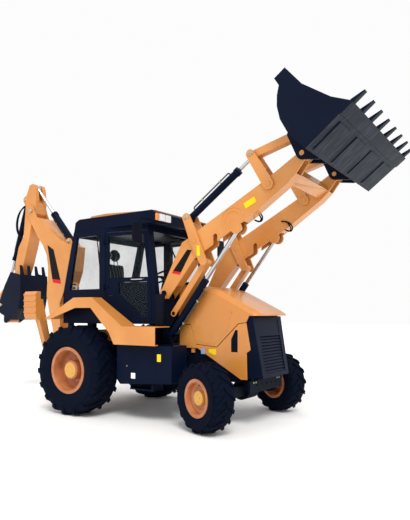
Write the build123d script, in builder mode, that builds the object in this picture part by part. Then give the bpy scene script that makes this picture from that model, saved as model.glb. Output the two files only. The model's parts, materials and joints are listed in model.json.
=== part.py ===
"""Backhoe loader: loader raised on its self-levelling linkage, digging arm folded up behind the cab.

Frame: +X forward, +Y to the machine's left, +Z up, origin on the ground under the middle of the
machine's length.  Side profiles are written as (x, z) pairs measured from the rear axle.
"""
import math
import os

from build123d import *

os.makedirs("parts", exist_ok=True)

# ---------------------------------------------------------------- driving dimensions (millimetres)
rear_axle_x = -629.0          # rear axle behind the origin
wheelbase = 2320.0
front_axle_x = rear_axle_x + wheelbase

rear_tyre_r = 655.0           # out to the lugs' tips, and so the axle's height
rear_tyre_w = 470.0
rear_seat_r = 305.0           # where the bead sits
rear_bead_w = 380.0
rear_flange_r = 340.0
rear_wheel_y = 930.0          # middle of the tyre
rear_lug_h = 32.0
rear_lugs = 18                # lugs on each half of the tread
rear_sides = 16               # flat faces round the carcass

front_tyre_r = 440.0
front_tyre_w = 330.0
front_seat_r = 212.0
front_bead_w = 256.0
front_flange_r = 240.0
front_lug_h = 24.0
front_lugs = 16
front_sides = 14
kingpin_y = 800.0
front_wheel_offset = 158.0    # from the kingpin out to the middle of the tyre
steer_deg = -20.0             # front wheels stand turned to the right

cab_floor_z = 1330.0          # underside of the cab

bead_gap = 0.4                # tyre to rim
turn_gap = 0.5                # radial clearance of a pin in its bore
side_gap = 6.0                # between plates that swing past each other

arm_y = 550.0                 # middle of each loader arm
arm_w = 160.0
tower_w = 60.0
tower_eye_r = 40.0
lift_drop = 71.6              # degrees that the arms come down from here
lift_rise = 3.6               # degrees that the lift cylinder still turns up
plate_hole_z = 545.0          # front plate's row of bolt holes
plate_hole_ys = (-280.0, -140.0, 0.0, 140.0, 280.0)
plate_hole_r = 14.0
hood_pin = (1474.0, 1830.0)
hood_pin_r = 10.0
lane_w = 124.0                # hollow inside an arm, where link and cylinder nest
link_plate_t = 25.0           # bellcrank and lever plates

# Loader pins, (x, z) from the rear axle.
pin_arm = (1381.0, 1757.0)          # arm on the tower
pin_level = (1516.0, 1478.0)        # level link on the tower
pin_lift_base = (1410.0, 1137.0)    # lift cylinder on the tower
pin_knee = (1904.0, 2440.0)         # bellcrank on the arm
pin_tilt_base = (1770.0, 2763.0)    # tilt cylinder on the bellcrank
pin_level_top = (pin_knee[0] + pin_level[0] - pin_arm[0], pin_knee[1] + pin_level[1] - pin_arm[1])
pin_lift_rod = (2517.0, 2568.0)     # lift cylinder's eye under the arm
pin_lever = (2983.0, 3046.0)        # tilt lever on the arm
pin_lever_top = (2736.0, 3449.0)    # tilt cylinder and push link on the lever
pin_push = (3290.0, 3590.0)         # push link on the bucket
pin_bucket = (3420.0, 3345.0)       # bucket on the arm

# Digging arm pins, (x, z) from the rear axle.
swing_x = -1000.0                   # vertical swing axis
pin_boom = (-1330.0, 880.0)         # boom foot
pin_boom_base = (-1185.0, 1085.0)   # boom cylinder on the swing post
pin_boom_rod = (-1110.0, 1930.0)    # boom cylinder's eye on the boom
pin_dipper = (-2077.0, 3344.0)      # dipper on the boom
pin_dip_base = (-1136.0, 2735.0)    # dipper cylinder on the boom's hump
pin_dip_rod = (-2059.0, 3784.0)     # dipper cylinder's eye on the dipper's tail
pin_curl_base = (-2310.0, 3590.0)   # digging bucket's cylinder on the dipper
pin_rocker = (-2660.0, 2030.0)      # rocker on the dipper
pin_curl = (-2980.0, 1800.0)        # rocker, bucket link and cylinder's eye
pin_dig = (-2750.0, 1640.0)         # digging bucket on the dipper
pin_dig_link = (-2790.0, 1350.0)    # bucket link on the digging bucket

stab_x = -785.0                     # middle of each stabiliser leg
stab_w = 96.0
stab_pin = (720.0, 550.0)           # (|y|, z) of its hinge
stab_pad_y0 = 1000.0
stab_pad_y1 = 1096.0


# ---------------------------------------------------------------- shape helpers
def side(y):
    """Sketch plane parallel to the machine's side, x measured from the rear axle."""
    return Plane(origin=(rear_axle_x, y, 0), x_dir=(1, 0, 0), z_dir=(0, -1, 0))


def hull(y, width, discs, mode=Mode.ADD):
    """Plate round a few discs, each (x, z, radius), centred on y."""
    with BuildSketch(side(y)) as outline:
        for x, z, r in discs:
            with Locations((x, z)):
                Circle(r)
        make_hull()
    extrude(outline.sketch, amount=width / 2, both=True, mode=mode)


def disc(y, width, pin, r, mode=Mode.ADD):
    """Pin, boss or bore across the machine."""
    with BuildSketch(side(y)) as outline:
        with Locations(pin):
            Circle(r)
    extrude(outline.sketch, amount=width / 2, both=True, mode=mode)


def prism(y, width, points, mode=Mode.ADD):
    """Plate or block with a polygon outline of (x, z) points, centred on y."""
    with BuildSketch(side(y)) as outline:
        with BuildLine():
            Polyline(*points, close=True)
        make_face()
    extrude(outline.sketch, amount=width / 2, both=True, mode=mode)


def block(x0, x1, y0, y1, z0, z1, mode=Mode.ADD):
    """Box between two corners, x measured from the rear axle."""
    with Locations((rear_axle_x + (x0 + x1) / 2, (y0 + y1) / 2, (z0 + z1) / 2)):
        Box(x1 - x0, y1 - y0, z1 - z0, mode=mode)


def ribbon(points, t):
    """Polygon of constant thickness t to the left of an open run of points."""
    normals = []
    for (x0, z0), (x1, z1) in zip(points, points[1:]):
        run = math.hypot(x1 - x0, z1 - z0)
        normals.append((-(z1 - z0) / run, (x1 - x0) / run))
    inner = []
    for i, (x, z) in enumerate(points):
        a = normals[max(i - 1, 0)]
        b = normals[min(i, len(normals) - 1)]
        share = t / (1 + a[0] * b[0] + a[1] * b[1])
        inner.append((x + (a[0] + b[0]) * share, z + (a[1] + b[1]) * share))
    return list(points) + inner[::-1]


def between(p, q, share):
    """Point on the line from p to q."""
    return (p[0] + (q[0] - p[0]) * share, p[1] + (q[1] - p[1]) * share)


def along(p, q, dist):
    """Point at a distance from p towards q."""
    return between(p, q, dist / math.dist(p, q))


def rod_along(y, p, q, start, end, r, mode=Mode.ADD):
    """Round bar on the line from p to q, between two distances from p."""
    a = along(p, q, start)
    b = along(p, q, end)
    way = Vector(b[0] - a[0], 0, b[1] - a[1])
    face = Plane(origin=(rear_axle_x + a[0], y, a[1]), z_dir=way.normalized())
    with BuildSketch(face) as section:
        Circle(r)
    extrude(section.sketch, amount=way.length, mode=mode)


def barrel(y, base, eye, length, r, bore_r, pin_r, eye_w, eye_r):
    """Cylinder barrel with its base eye and gland, its bore open for the rod."""
    disc(y, eye_w, base, eye_r)
    rod_along(y, base, eye, 0, length, r)
    rod_along(y, base, eye, length - 60, length, r + 8)
    rod_along(y, base, eye, eye_r + 30, length, bore_r, Mode.SUBTRACT)
    disc(y, max(eye_w, 2 * r) + 20, base, pin_r + turn_gap, Mode.SUBTRACT)


def rod(y, base, eye, start, r, eye_w, eye_r):
    """Cylinder rod with its eye, pinned."""
    reach = math.dist(base, eye)
    rod_along(y, base, eye, start, reach, r)
    disc(y, eye_w, eye, eye_r)


def on_edge(edge, way, u, n):
    """Point at u along a cutting edge's direction and n to its left."""
    return (edge[0] + way[0] * u - way[1] * n, edge[1] + way[1] * u + way[0] * n)


def turned(angle, x, y):
    """Vector turned by an angle in degrees."""
    a = math.radians(angle)
    return (x * math.cos(a) - y * math.sin(a), x * math.sin(a) + y * math.cos(a))


def finish(part, name):
    """Label a sub-part and write its file."""
    part.label = name
    export_step(part, f"parts/{name}.step")


# ---------------------------------------------------------------- wheels
def wheel_plane(centre, spin):
    """Section plane of a wheel: x runs out from the axle, y runs along the spin axis."""
    up = Vector(0, 0, 1)
    return Plane(origin=centre, x_dir=up, z_dir=up.cross(Vector(*spin)))


def on_wheel(centre, spin, r, turn, out):
    """Point at radius r, turned from the top of the wheel, and out along its spin axis."""
    axis = Vector(*spin)
    up = Vector(0, 0, 1)
    way = up * math.cos(turn) + axis.cross(up) * math.sin(turn)
    return Vector(*centre) + way * r + axis * out


def tyre(centre, spin, r, w, seat_r, bead_w, flange_r, lug_h, lug_count, sides):
    """Tyre out to its lugs' tips: a faceted carcass with slanted lugs, staggered left and right."""
    axis = Vector(*spin)
    tread_r = r - lug_h
    bulge_r = (flange_r + tread_r) / 2

    def turned_round(rings, mode=Mode.ADD):
        """Faceted body of revolution from (radius, distance out from the middle) rings."""
        ConvexPolyhedron([
            on_wheel(centre, spin, ring_r, 2 * math.pi * i / sides, out)
            for ring_r, out in rings for i in range(sides)
        ], mode=mode)

    carcass = ((bulge_r + 40, w / 2), (tread_r, w / 2 - 44))
    turned_round([(ring_r, side_way * out) for ring_r, out in carcass for side_way in (-1, 1)])
    pitch = 2 * math.pi * r / lug_count
    half = 0.52 * pitch                       # a lug's reach round the wheel, either way
    top = math.sqrt(r * r - half * half)
    # lug outline on its top face: (out from the middle, round the wheel)
    outline = ((-8, -half), (-8, 0.3 * pitch - half), (w / 2 - 34, half), (w / 2 - 34, half - 0.32 * pitch))
    lugs = []
    for side_way, stagger in ((-1, 0.5), (1, 0)):
        for i in range(lug_count):
            turn = math.pi - math.asin(half / r) + 2 * math.pi * (i + stagger) / lug_count
            foot = on_wheel(centre, spin, 0, turn, 0)
            inward = foot - on_wheel(centre, spin, 1, turn, 0)
            face = Plane(origin=foot - inward * top, x_dir=axis * side_way, z_dir=inward)
            with BuildSketch(face, mode=Mode.PRIVATE) as lug:
                with BuildLine():
                    Polyline(*[(out, side_way * round_way) for out, round_way in outline], close=True)
                make_face()
            lean = inward + axis * side_way * 0.45
            lugs.append(extrude(lug.sketch, amount=2.5 * lug_h, dir=lean, mode=Mode.PRIVATE))
    add(lugs)
    bead_r = (flange_r + 3) / math.cos(math.pi / sides)
    for side_way in (-1, 1):
        dish = ((bead_r, bead_w / 2), (bulge_r + 4, w / 2 + 4))
        turned_round([(ring_r, side_way * out) for ring_r, out in dish], Mode.SUBTRACT)
    with BuildSketch(Plane(origin=centre, z_dir=spin)) as seat:
        Circle(seat_r)
    extrude(seat.sketch, amount=w, both=True, mode=Mode.SUBTRACT)


def rim(centre, spin, seat_r, bead_w, flange_r, dish, hub_r, hub_out, outer):
    """Rim with flanges, a dished disc and the hub; outer is the side the dish opens to."""
    r = seat_r - bead_gap
    half = bead_w / 2
    lip = 14.0
    wall = 12.0
    edge = half + bead_gap
    disc_a = dish * outer
    with BuildSketch(wheel_plane(centre, spin)) as section:
        for s in (-1, 1):
            with BuildLine():
                Polyline(
                    (r - wall, 0), (r, 0), (r, s * edge), (flange_r, s * edge),
                    (flange_r, s * (edge + lip)), (r - wall, s * (edge + lip)), close=True,
                )
            make_face()
        with BuildLine():
            Polyline(
                (0, disc_a), (0, hub_out * outer), (hub_r * 0.82, hub_out * outer),
                (hub_r, (hub_out - 14) * outer), (hub_r, disc_a + 18 * outer),
                (seat_r * 0.62, disc_a + 18 * outer), (seat_r * 0.8, disc_a + 52 * outer),
                (r - wall + 1, disc_a + 52 * outer), (r - wall + 1, disc_a + 36 * outer),
                (seat_r * 0.84, disc_a + 36 * outer), (seat_r * 0.66, disc_a), close=True,
            )
        make_face()
    revolve(section.sketch, axis=Axis(centre, spin))


rear_dish = -20.0
front_dish = 30.0
for name, s in (("right", -1), ("left", 1)):
    centre = (rear_axle_x, s * rear_wheel_y, rear_tyre_r)
    with BuildPart() as rear_tyre:
        tyre(centre, (0, 1, 0), rear_tyre_r, rear_tyre_w, rear_seat_r, rear_bead_w, rear_flange_r,
             rear_lug_h, rear_lugs, rear_sides)
    finish(rear_tyre.part, f"rear_tyre_{name}")
    with BuildPart() as rear_rim:
        rim(centre, (0, 1, 0), rear_seat_r, rear_bead_w, rear_flange_r, rear_dish, 140.0, 150.0, s)
    finish(rear_rim.part, f"rear_rim_{name}")

    dx, dy = turned(steer_deg, 0, s * front_wheel_offset)
    centre = (front_axle_x + dx, s * kingpin_y + dy, front_tyre_r)
    spin = (*turned(steer_deg, 0, 1), 0)
    with BuildPart() as front_tyre:
        tyre(centre, spin, front_tyre_r, front_tyre_w, front_seat_r, front_bead_w, front_flange_r,
             front_lug_h, front_lugs, front_sides)
    finish(front_tyre.part, f"front_tyre_{name}")
    with BuildPart() as front_rim:
        rim(centre, spin, front_seat_r, front_bead_w, front_flange_r, front_dish, 92.0, 118.0, s)
    finish(front_rim.part, f"front_rim_{name}")

    # Steering knuckle: upright on the kingpin and a hub drum that ends at the wheel's disc.
    out = (*turned(steer_deg, 0, s), 0)
    with BuildPart() as knuckle:
        with BuildSketch(Plane.XY.offset(front_tyre_r - 70)) as upright:
            with Locations((front_axle_x, s * kingpin_y)):
                Circle(62)
        extrude(upright.sketch, amount=140)
        with BuildSketch(Plane(origin=(front_axle_x, s * kingpin_y, front_tyre_r), z_dir=out)) as drum:
            Circle(60)
        extrude(drum.sketch, amount=front_wheel_offset + front_dish - turn_gap)
        with BuildSketch(Plane.XY.offset(front_tyre_r - 75)) as bore:
            with Locations((front_axle_x, s * kingpin_y)):
                Circle(30 + turn_gap)
        extrude(bore.sketch, amount=150, mode=Mode.SUBTRACT)
    finish(knuckle.part, f"knuckle_{name}")


# ---------------------------------------------------------------- axles, frame and drive
with BuildPart() as rear_axle:
    for y0, y1, r in ((0, 230, 190), (230, 560, 105), (560, rear_wheel_y + rear_dish - turn_gap, 130)):
        with BuildSketch(Plane(origin=(rear_axle_x, -y0, rear_tyre_r), z_dir=(0, -1, 0))) as tube:
            Circle(r)
        extrude(tube.sketch, amount=y1 - y0)
    mirror(about=Plane.XZ)
    block(-90, 90, -560, -330, rear_tyre_r, 770)
    block(-90, 90, 330, 560, rear_tyre_r, 770)
finish(rear_axle.part, "rear_axle")

fork_h = 76.0
with BuildPart() as front_axle:
    prism(0, 1240, [(wheelbase - 70, 370), (wheelbase + 70, 370), (wheelbase + 70, 510), (wheelbase - 70, 510)])
    with BuildSketch(Plane(origin=(front_axle_x, 0, front_tyre_r), z_dir=(0, -1, 0))) as bowl:
        Circle(135)
    extrude(bowl.sketch, amount=150, both=True)
    for s in (-1, 1):
        for z in (front_tyre_r - fork_h - 30, front_tyre_r + fork_h):
            with Locations((front_axle_x, s * (kingpin_y - 90), z + 15)):
                Box(110, 200, 30)
            with Locations((front_axle_x, s * kingpin_y, z + 15)):
                Cylinder(55, 30)
        with Locations((front_axle_x, s * (kingpin_y - 150), front_tyre_r)):
            Box(120, 90, 2 * fork_h + 60)
        with Locations((front_axle_x, s * kingpin_y, front_tyre_r)):
            Cylinder(30, 2 * fork_h + 40)
finish(front_axle.part, "front_axle")

rail_y0 = 300.0
rail_y1 = 390.0
rail_front = wheelbase + 240.0
with BuildPart() as chassis:
    # side rails, stepped down at the front
    for y in (-(rail_y0 + rail_y1) / 2, (rail_y0 + rail_y1) / 2):
        prism(y, rail_y1 - rail_y0, [
            (-690, 770), (-690, 1000), (1750, 1000), (rail_front, 880), (rail_front, 640), (1750, 640), (1500, 770),
        ])
    # cross members: (x0, x1, z0, z1)
    for x0, x1, z0, z1 in ((300, 420, 800, 960), (rail_front - 80, rail_front, 640, 860)):
        block(x0, x1, -rail_y0, rail_y0, z0, z1)
    # front axle saddle
    block(wheelbase - 150, wheelbase + 150, -rail_y1, rail_y1, 575.2, 645)
    # front plate and its brackets
    plate_x = rail_front + 52
    block(plate_x, plate_x + 28, -470, 470, 452, 612)
    for y in (-345, 345):
        block(rail_front - 40, plate_x + 1, y - 45, y + 45, 470, 640)
    for y in plate_hole_ys:
        with Locations((rear_axle_x + plate_x + 14, y, plate_hole_z)):
            Cylinder(plate_hole_r, 40, rotation=(0, 90, 0), mode=Mode.SUBTRACT)
    # cab mounts: x
    for x in (-300, 1060):
        block(x - 60, x + 60, -390, -300, 1000, cab_floor_z)
        block(x - 60, x + 60, 300, 390, 1000, cab_floor_z)
    # loader towers on outriggers, cut back where the lift cylinder lies against them
    rise = turned(lift_rise, pin_lift_rod[0] - pin_lift_base[0], pin_lift_rod[1] - pin_lift_base[1])
    lift_ways = (pin_lift_rod, (pin_lift_base[0] + rise[0], pin_lift_base[1] + rise[1]))
    for s in (-1, 1):
        y = s * arm_y
        hull(y, tower_w, [(*pin_arm, 70), (*pin_level, tower_eye_r), (1350, 1137, 45)])
        hull(y, tower_w, [(*pin_lift_base, 45), (1350, 1300, 45), (1340, 960, 45), (1440, 940, 50)])
        for way in lift_ways:
            lane = [(*along(pin_lift_base, way, reach), 54) for reach in (100, 700)]
            hull(y, tower_w + 2, lane, Mode.SUBTRACT)
        block(1290, 1640, min(s * 300, s * 580), max(s * 300, s * 580), 880, 960)
        disc(y, arm_w + 24, pin_arm, 40)
        disc(y, 100, pin_level, 28)
        disc(y, 100, pin_lift_base, 30)
    # bulkhead behind the engine, with the hood's hinge pins
    block(1436, 1450, -300, 300, 1000, 1800)
    block(1420, 1450, -390, 390, 940, 1000)
    for y in (-215, 215):
        hull(y, 30, [(*hood_pin, 22), (1443, 1770, 7)])
        disc(y * 250 / 215, 100, hood_pin, hood_pin_r)
finish(chassis.part, "chassis")

with BuildPart() as engine:
    block(1660, 2400, -270, 270, 760, 1340)
    block(2400, 2470, -300, 300, 720, 1380)
finish(engine.part, "engine")

with BuildPart() as gearbox:
    prism(0, 440, [(640, 560), (1560, 520), (1660, 640), (1660, 935), (800, 935), (640, 820)])
    with BuildSketch(Plane(origin=(rear_axle_x + 190, 0, 640), z_dir=(1, 0, 0))) as shaft:
        Circle(45)
    extrude(shaft.sketch, amount=455)
finish(gearbox.part, "gearbox")


# ---------------------------------------------------------------- hood, side panels and grille
hood_half = 430.0
cowl_half = 385.0
panel_t = 12.0
seam = 8.0
hood_edge = 60.0
hood_top = [(1500, 1885), (1930, 1845), (2130, 1790), (2670, 1520), (2740, 1478)]
hood_seam = [(2740, 1450), (2600, 1450), (2560, 1366), (2440, 1350), (2110, 1035), (1770, 1062), (1690, 1330), (1500, 1330)]

with BuildPart() as hood:
    prism(0, 2 * hood_half, [*hood_top, *hood_seam])
    top_edges = hood.edges().filter_by(lambda e: e.center().Z > 1500 and abs(abs(e.center().Y) - hood_half) < 1
                                       and abs(e.tangent_at(0.5).X) > 0.5)
    chamfer(top_edges, hood_edge)
    # hollow in two steps, lower where the top's edges are chamfered
    for half, drop in ((hood_half - hood_edge - panel_t, 0), (hood_half - panel_t, hood_edge)):
        prism(0, 2 * half, [
            (1512, 1872 - drop), (1927, 1832 - drop), (2125, 1778 - drop), (2664, 1508 - drop),
            (2728, 1470 - drop), (2728, 900), (1512, 900),
        ], Mode.SUBTRACT)
    for y in (-262, 262):
        hull(y, 50, [(*hood_pin, 22), (1508, 1840, 10)])
        disc(y, 52, hood_pin, hood_pin_r + turn_gap, Mode.SUBTRACT)
finish(hood.part, "hood")

vent_line = [(2331, 972), (2431, 972), (2431, 1262), (2395, 1262), (2331, 1140)]
with BuildPart() as side_panels:
    prism(-hood_half + panel_t / 2, panel_t, [
        (1500, 1330 - seam), (1684, 1330 - seam), (1764, 1062 - seam), (2114, 1035 - seam),
        (2444, 1350 - seam), (2560, 1366 - seam), (2622, 1010), (2566, 970), (2574, 620), (2480, 620), (1800, 1004),
        (1500, 1004),
    ])
    prism(-hood_half, 4 * panel_t, vent_line, Mode.SUBTRACT)
    block(1690, 1740, -hood_half + panel_t, -rail_y1, 940, 1000)
    block(2380, 2440, -hood_half + panel_t, -rail_y1, 760, 860)
    mirror(about=Plane.XZ)
finish(side_panels.part, "side_panels")

cowl_side = [(2582, 645), (2786, 645), (2645, 1440), (2611, 1440), (2568, 1366), (2630, 1010), (2574, 970)]
cowl_wall = 12.0


def cowl_face(z):
    """How far forward the cowl's leaning face is at a height."""
    (_, _), (x0, z0), (x1, z1) = cowl_side[:3]
    return x0 + (x1 - x0) * (z - z0) / (z1 - z0)


def cowl_plan(grow):
    """Plan of the cowl, flaring back to the side panels."""
    half = [(2590 - 60, hood_half - grow), (2600, hood_half - grow), (2800, cowl_half - grow)]
    right = [(rear_axle_x + x, -y) for x, y in half]
    return right + [(x, -y) for x, y in right[::-1]]


with BuildPart() as grille:
    with BuildSketch(Plane.XY.offset(600)) as plan:
        with BuildLine():
            Polyline(*cowl_plan(0), close=True)
        make_face()
    extrude(plan.sketch, amount=900)
    prism(0, 1000, cowl_side, Mode.INTERSECT)
    with BuildSketch(Plane.XY.offset(600)) as inner:
        with BuildLine():
            Polyline(*cowl_plan(cowl_wall), close=True)
        make_face()
    hollow = extrude(inner.sketch, amount=900, mode=Mode.PRIVATE)
    with BuildSketch(side(0)) as room:
        with BuildLine():
            Polyline((2500, 657), (2772, 657), (2634, 1427), (2500, 1427), close=True)
        make_face()
    add(hollow & extrude(room.sketch, amount=1000, both=True, mode=Mode.PRIVATE), mode=Mode.SUBTRACT)
    # louvred mouth, with a plain recess above it
    prism(0, 600, [(2500, 700), (2900, 700), (2900, 1180), (2500, 1180)], Mode.SUBTRACT)
    for i in range(12):
        z = 722 + 40 * i
        x = cowl_face(z)
        prism(0, 610, [(x - 30, z - 2), (x - 3, z - 20), (x - 3, z - 12), (x - 26, z + 18), (x - 32, z + 16)])
    prism(0, 600, [(cowl_face(z) - depth, z) for z, depth in ((1205, 6), (1205, -9), (1400, -9), (1400, 6))],
          Mode.SUBTRACT)
    for y in (-hood_half + panel_t + 6, hood_half - panel_t - 6):
        prism(y, 12, [(2556, 640), (2600, 640), (2600, 940), (2640, 1000), (2590, 1300), (2556, 1300)])
    # side vents' louvres, carried behind the panels
    for s in (-1, 1):
        y = s * (hood_half - panel_t - 4)
        prism(y, 8, [(x + dx, z + dz) for (x, z), (dx, dz) in zip(vent_line, ((-8, -8), (8, -8), (8, 8), (-6, 8), (-8, 2)))])
        for i in range(6):
            z = 995 + 45 * i
            block(2340 + max(0, i - 3) * 22, 2424, y - 4 if s < 0 else y, y if s < 0 else y + 4, z, z + 14)
finish(grille.part, "grille")

# ---------------------------------------------------------------- cab
cab_half = 790.0              # from the door hinge back
cab_hinge_x = 400.0
cab_nose = (1255.0, 655.0)    # (x, |y|) of the front corner
cab_rear_x = -470.0
cab_wall = 45.0
roof_z0 = 2720.0
glass_t = 6.0
cab_profile = [(-470, cab_floor_z), (1255, cab_floor_z), (1255, 1700), (1125, roof_z0), (-235, roof_z0), (-470, 1790)]
cab_room = [(-425, cab_floor_z + 40), (1210, cab_floor_z + 40), (1210, 1694), (1079, roof_z0 + 5),
            (-189, roof_z0 + 5), (-425, 1796)]
wall_run = math.dist((cab_hinge_x, cab_half), cab_nose)
wall_way = ((cab_nose[0] - cab_hinge_x) / wall_run, (cab_half - cab_nose[1]) / wall_run)
door_gap = 6.0
hinge_out = 14.0              # door hinge axis outside the cab's face
hinge_r = 11.0
hinge_h = 24.0
hinge_zs = (1860.0, 2520.0)


def cab_plan(grow):
    """Plan outline of the cab, moved out by grow."""
    half = [(-900, cab_half + grow), (cab_hinge_x, cab_half + grow), (1400, cab_half + grow - (1400 - cab_hinge_x) * wall_way[1] / wall_way[0])]
    right = [(rear_axle_x + x, -y) for x, y in half]
    return right + [(x, -y) for x, y in right[::-1]]


def cab_block(grow, profile, mode=Mode.ADD):
    """Cab-shaped block: the plan outline cut to a side profile."""
    with BuildSketch(Plane.XY.offset(1000)) as plan:
        with BuildLine():
            Polyline(*cab_plan(grow), close=True)
        make_face()
    with BuildSketch(side(0)) as outline:
        with BuildLine():
            Polyline(*profile, close=True)
        make_face()
    tall = extrude(plan.sketch, amount=2200, mode=Mode.PRIVATE)
    wide = extrude(outline.sketch, amount=1200, both=True, mode=Mode.PRIVATE)
    add(tall & wide, mode=mode)


def side_wall(s):
    """Plane of the tapered cab side, x measured forward from the door hinge."""
    return Plane(
        origin=(rear_axle_x + cab_hinge_x, s * cab_half, 0),
        x_dir=(wall_way[0], -s * wall_way[1], 0),
        z_dir=(-s * wall_way[1] * s * s, -wall_way[0], 0) if s < 0 else (-wall_way[1], -wall_way[0], 0),
    )


def wall_prism(s, points, out, inward, mode=Mode.ADD):
    """Plate on the tapered side wall between two distances from its outer face."""
    with BuildSketch(side_wall(s)) as outline:
        with BuildLine():
            Polyline(*points, close=True)
        make_face()
    way = -s
    face = outline.sketch.moved(Location(Vector(wall_way[1] * out, s * wall_way[0] * out, 0)))
    extrude(face, amount=-(inward + out) * way, mode=mode)


# (distance forward from the hinge, z)
door_edge = [(30, 1740), (180, 1740), (620, 1370), (790, 1370), (790, 1700), (700, 2650), (30, 2650)]
door_opening = [(24, 1740 - door_gap), (178, 1740 - door_gap), (618, 1370 - door_gap), (796, 1370 - door_gap),
                (796, 1702), (706, 2656), (24, 2656)]
door_glass = [(75, 1995), (735, 1995), (660, 2600), (75, 2600)]
door_glass_low = [(250, 1930), (250, 1760), (640, 1430), (735, 1430), (735, 1700), (722, 1930)]
quarter = [(-330, 1840), (300, 1840), (300, 2630), (-165, 2630)]

with BuildPart() as cab_frame:
    cab_block(0, cab_profile)
    cab_block(-cab_wall, cab_room, Mode.SUBTRACT)
    for s in (-1, 1):
        wall_prism(s, door_opening, 10, 60, Mode.SUBTRACT)
        prism(s * cab_half, 200, quarter, Mode.SUBTRACT)
        for z in hinge_zs:
            for z0 in (z - 1.5 * hinge_h - 0.3, z + 0.5 * hinge_h + 0.3):
                with Locations((rear_axle_x + cab_hinge_x, s * (cab_half + hinge_out), z0 + hinge_h / 2)):
                    Cylinder(hinge_r, hinge_h)
                block(cab_hinge_x - 30, cab_hinge_x, *sorted((s * cab_half, s * (cab_half + hinge_out))), z0, z0 + hinge_h)
    block(1000, 1400, -560, 560, 1720, 2640, Mode.SUBTRACT)
    block(-700, -150, -700, 700, 1840, 2640, Mode.SUBTRACT)
finish(cab_frame.part, "cab_frame")


def slope_x(z, low, high):
    """x on a sloping line between two (x, z) points."""
    return low[0] + (high[0] - low[0]) * (z - low[1]) / (high[1] - low[1])


def pane(low, high, z0, z1, inset, half):
    """Pane parallel to a sloping wall, set in from its outer face."""
    x0 = slope_x(z0, low, high) + inset
    x1 = slope_x(z1, low, high) + inset
    prism(0, 2 * half, [(x0, z0), (x0 + glass_t, z0), (x1 + glass_t, z1), (x1, z1)])


with BuildPart() as cab_glass:
    pane((1255, 1700), (1125, roof_z0), 1720, 2640, -26, 560)
    pane((-470, 1790), (-235, roof_z0), 1840, 2640, 20, 700)
    for s in (-1, 1):
        prism(s * (cab_half - 20), glass_t, quarter)
finish(cab_glass.part, "cab_glass")

for name, s in (("right", -1), ("left", 1)):
    with BuildPart() as door:
        wall_prism(s, door_edge, 0, 40)
        wall_prism(s, door_glass, 10, 60, Mode.SUBTRACT)
        wall_prism(s, door_glass_low, 10, 60, Mode.SUBTRACT)
        for z in hinge_zs:
            with Locations((rear_axle_x + cab_hinge_x, s * (cab_half + hinge_out), z)):
                Cylinder(hinge_r, hinge_h)
            wall_prism(s, [(2, z - hinge_h / 2), (75, z - hinge_h / 2), (75, z + hinge_h / 2), (2, z + hinge_h / 2)], 12, -1)
            wall_prism(s, [(31, z - hinge_h / 2), (75, z - hinge_h / 2), (75, z + hinge_h / 2), (31, z + hinge_h / 2)], 2, 2)
    finish(door.part, f"door_{name}")
    with BuildPart() as door_pane:
        wall_prism(s, door_glass, -14, 14 + glass_t)
        wall_prism(s, door_glass_low, -14, 14 + glass_t)
    finish(door_pane.part, f"door_glass_{name}")

with BuildPart() as roof:
    prism(0, 1580, [(-230, roof_z0), (1350, roof_z0), (1350, 2860), (1290, 2900), (-120, 2900), (-200, 2860)])
    prism(0, 1480, [(-150, roof_z0 - 1), (1290, roof_z0 - 1), (1290, 2800), (-150, 2800)], Mode.SUBTRACT)
    block(-150, 1290, -740, 740, roof_z0, 2740)
finish(roof.part, "roof")

with BuildPart() as roof_cap:
    prism(0, 1300, [(-100, 2900), (1290, 2900), (1240, 2925), (300, 2970), (0, 2960)])
finish(roof_cap.part, "roof_cap")

with BuildPart() as roof_lamps:
    for x0, x1 in ((1350, 1385), (-262, -223.6)):
        for y in (-668, -533, 533, 668):
            block(x0, x1, y - 55, y + 55, 2750, 2845)
    for y in (-765, 765):
        block(1350, 1380, y - 22, y + 22, 2750, 2845)
finish(roof_lamps.part, "roof_lamps")

with BuildPart() as seat:
    block(-60, 180, -150, 150, cab_floor_z + 40, 1600)
    prism(0, 480, [(-120, 1600), (380, 1600), (400, 1740), (-60, 1740), (-110, 2300), (-210, 2300), (-160, 1640)])
    prism(0, 260, [(-112, 2340), (-104, 2520), (-190, 2520), (-200, 2340)])
    prism(0, 120, [(-125, 2290), (-125, 2350), (-185, 2350), (-190, 2290)])
finish(seat.part, "seat")

with BuildPart() as console:
    block(640, 1150, -330, 330, cab_floor_z + 40, cab_floor_z + 60)
    prism(0, 260, [(900, cab_floor_z + 60), (1100, cab_floor_z + 60), (1060, 2000), (960, 1960), (880, 1700)])
    with BuildSketch(Plane(origin=(rear_axle_x + 840, 0, 2030), z_dir=(-0.5, 0, 0.866))) as wheel:
        Circle(190)
        Circle(168, mode=Mode.SUBTRACT)
        Rectangle(30, 350)
    extrude(wheel.sketch, amount=22)
    rod_along(0, (1000, 1900), (840, 2036), 0, 222, 24)
finish(console.part, "console")

with BuildPart() as air_cleaner:
    with Locations((rear_axle_x + 1400, -735, 1304)):
        Cylinder(62, 440, align=(Align.CENTER, Align.CENTER, Align.MIN))
finish(air_cleaner.part, "air_cleaner")

with BuildPart() as mirrors:
    block(1245, 1270, -1145, -965, 2416, 2684)
    block(1250, 1265, -1000, -790, 2755, 2770)
    block(1250, 1265, -1010, -995, 2684, 2770)
    mirror(about=Plane.XZ)
finish(mirrors.part, "mirrors")

# ---------------------------------------------------------------- side boxes and fenders
with BuildPart() as side_boxes:
    prism(-760, 340, [(780, 560), (840, 500), (1735, 560), (1735, 1050), (780, 1050)])
    block(900, 1280, -592, -390, 780, 900)
    # step hung under the box
    block(1010, 1420, -920, -700, 440, 455)
    for x in (1027, 1403):
        block(x - 8, x + 8, -920, -700, 440, 560)
    mirror(about=Plane.XZ)
finish(side_boxes.part, "side_boxes")

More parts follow.
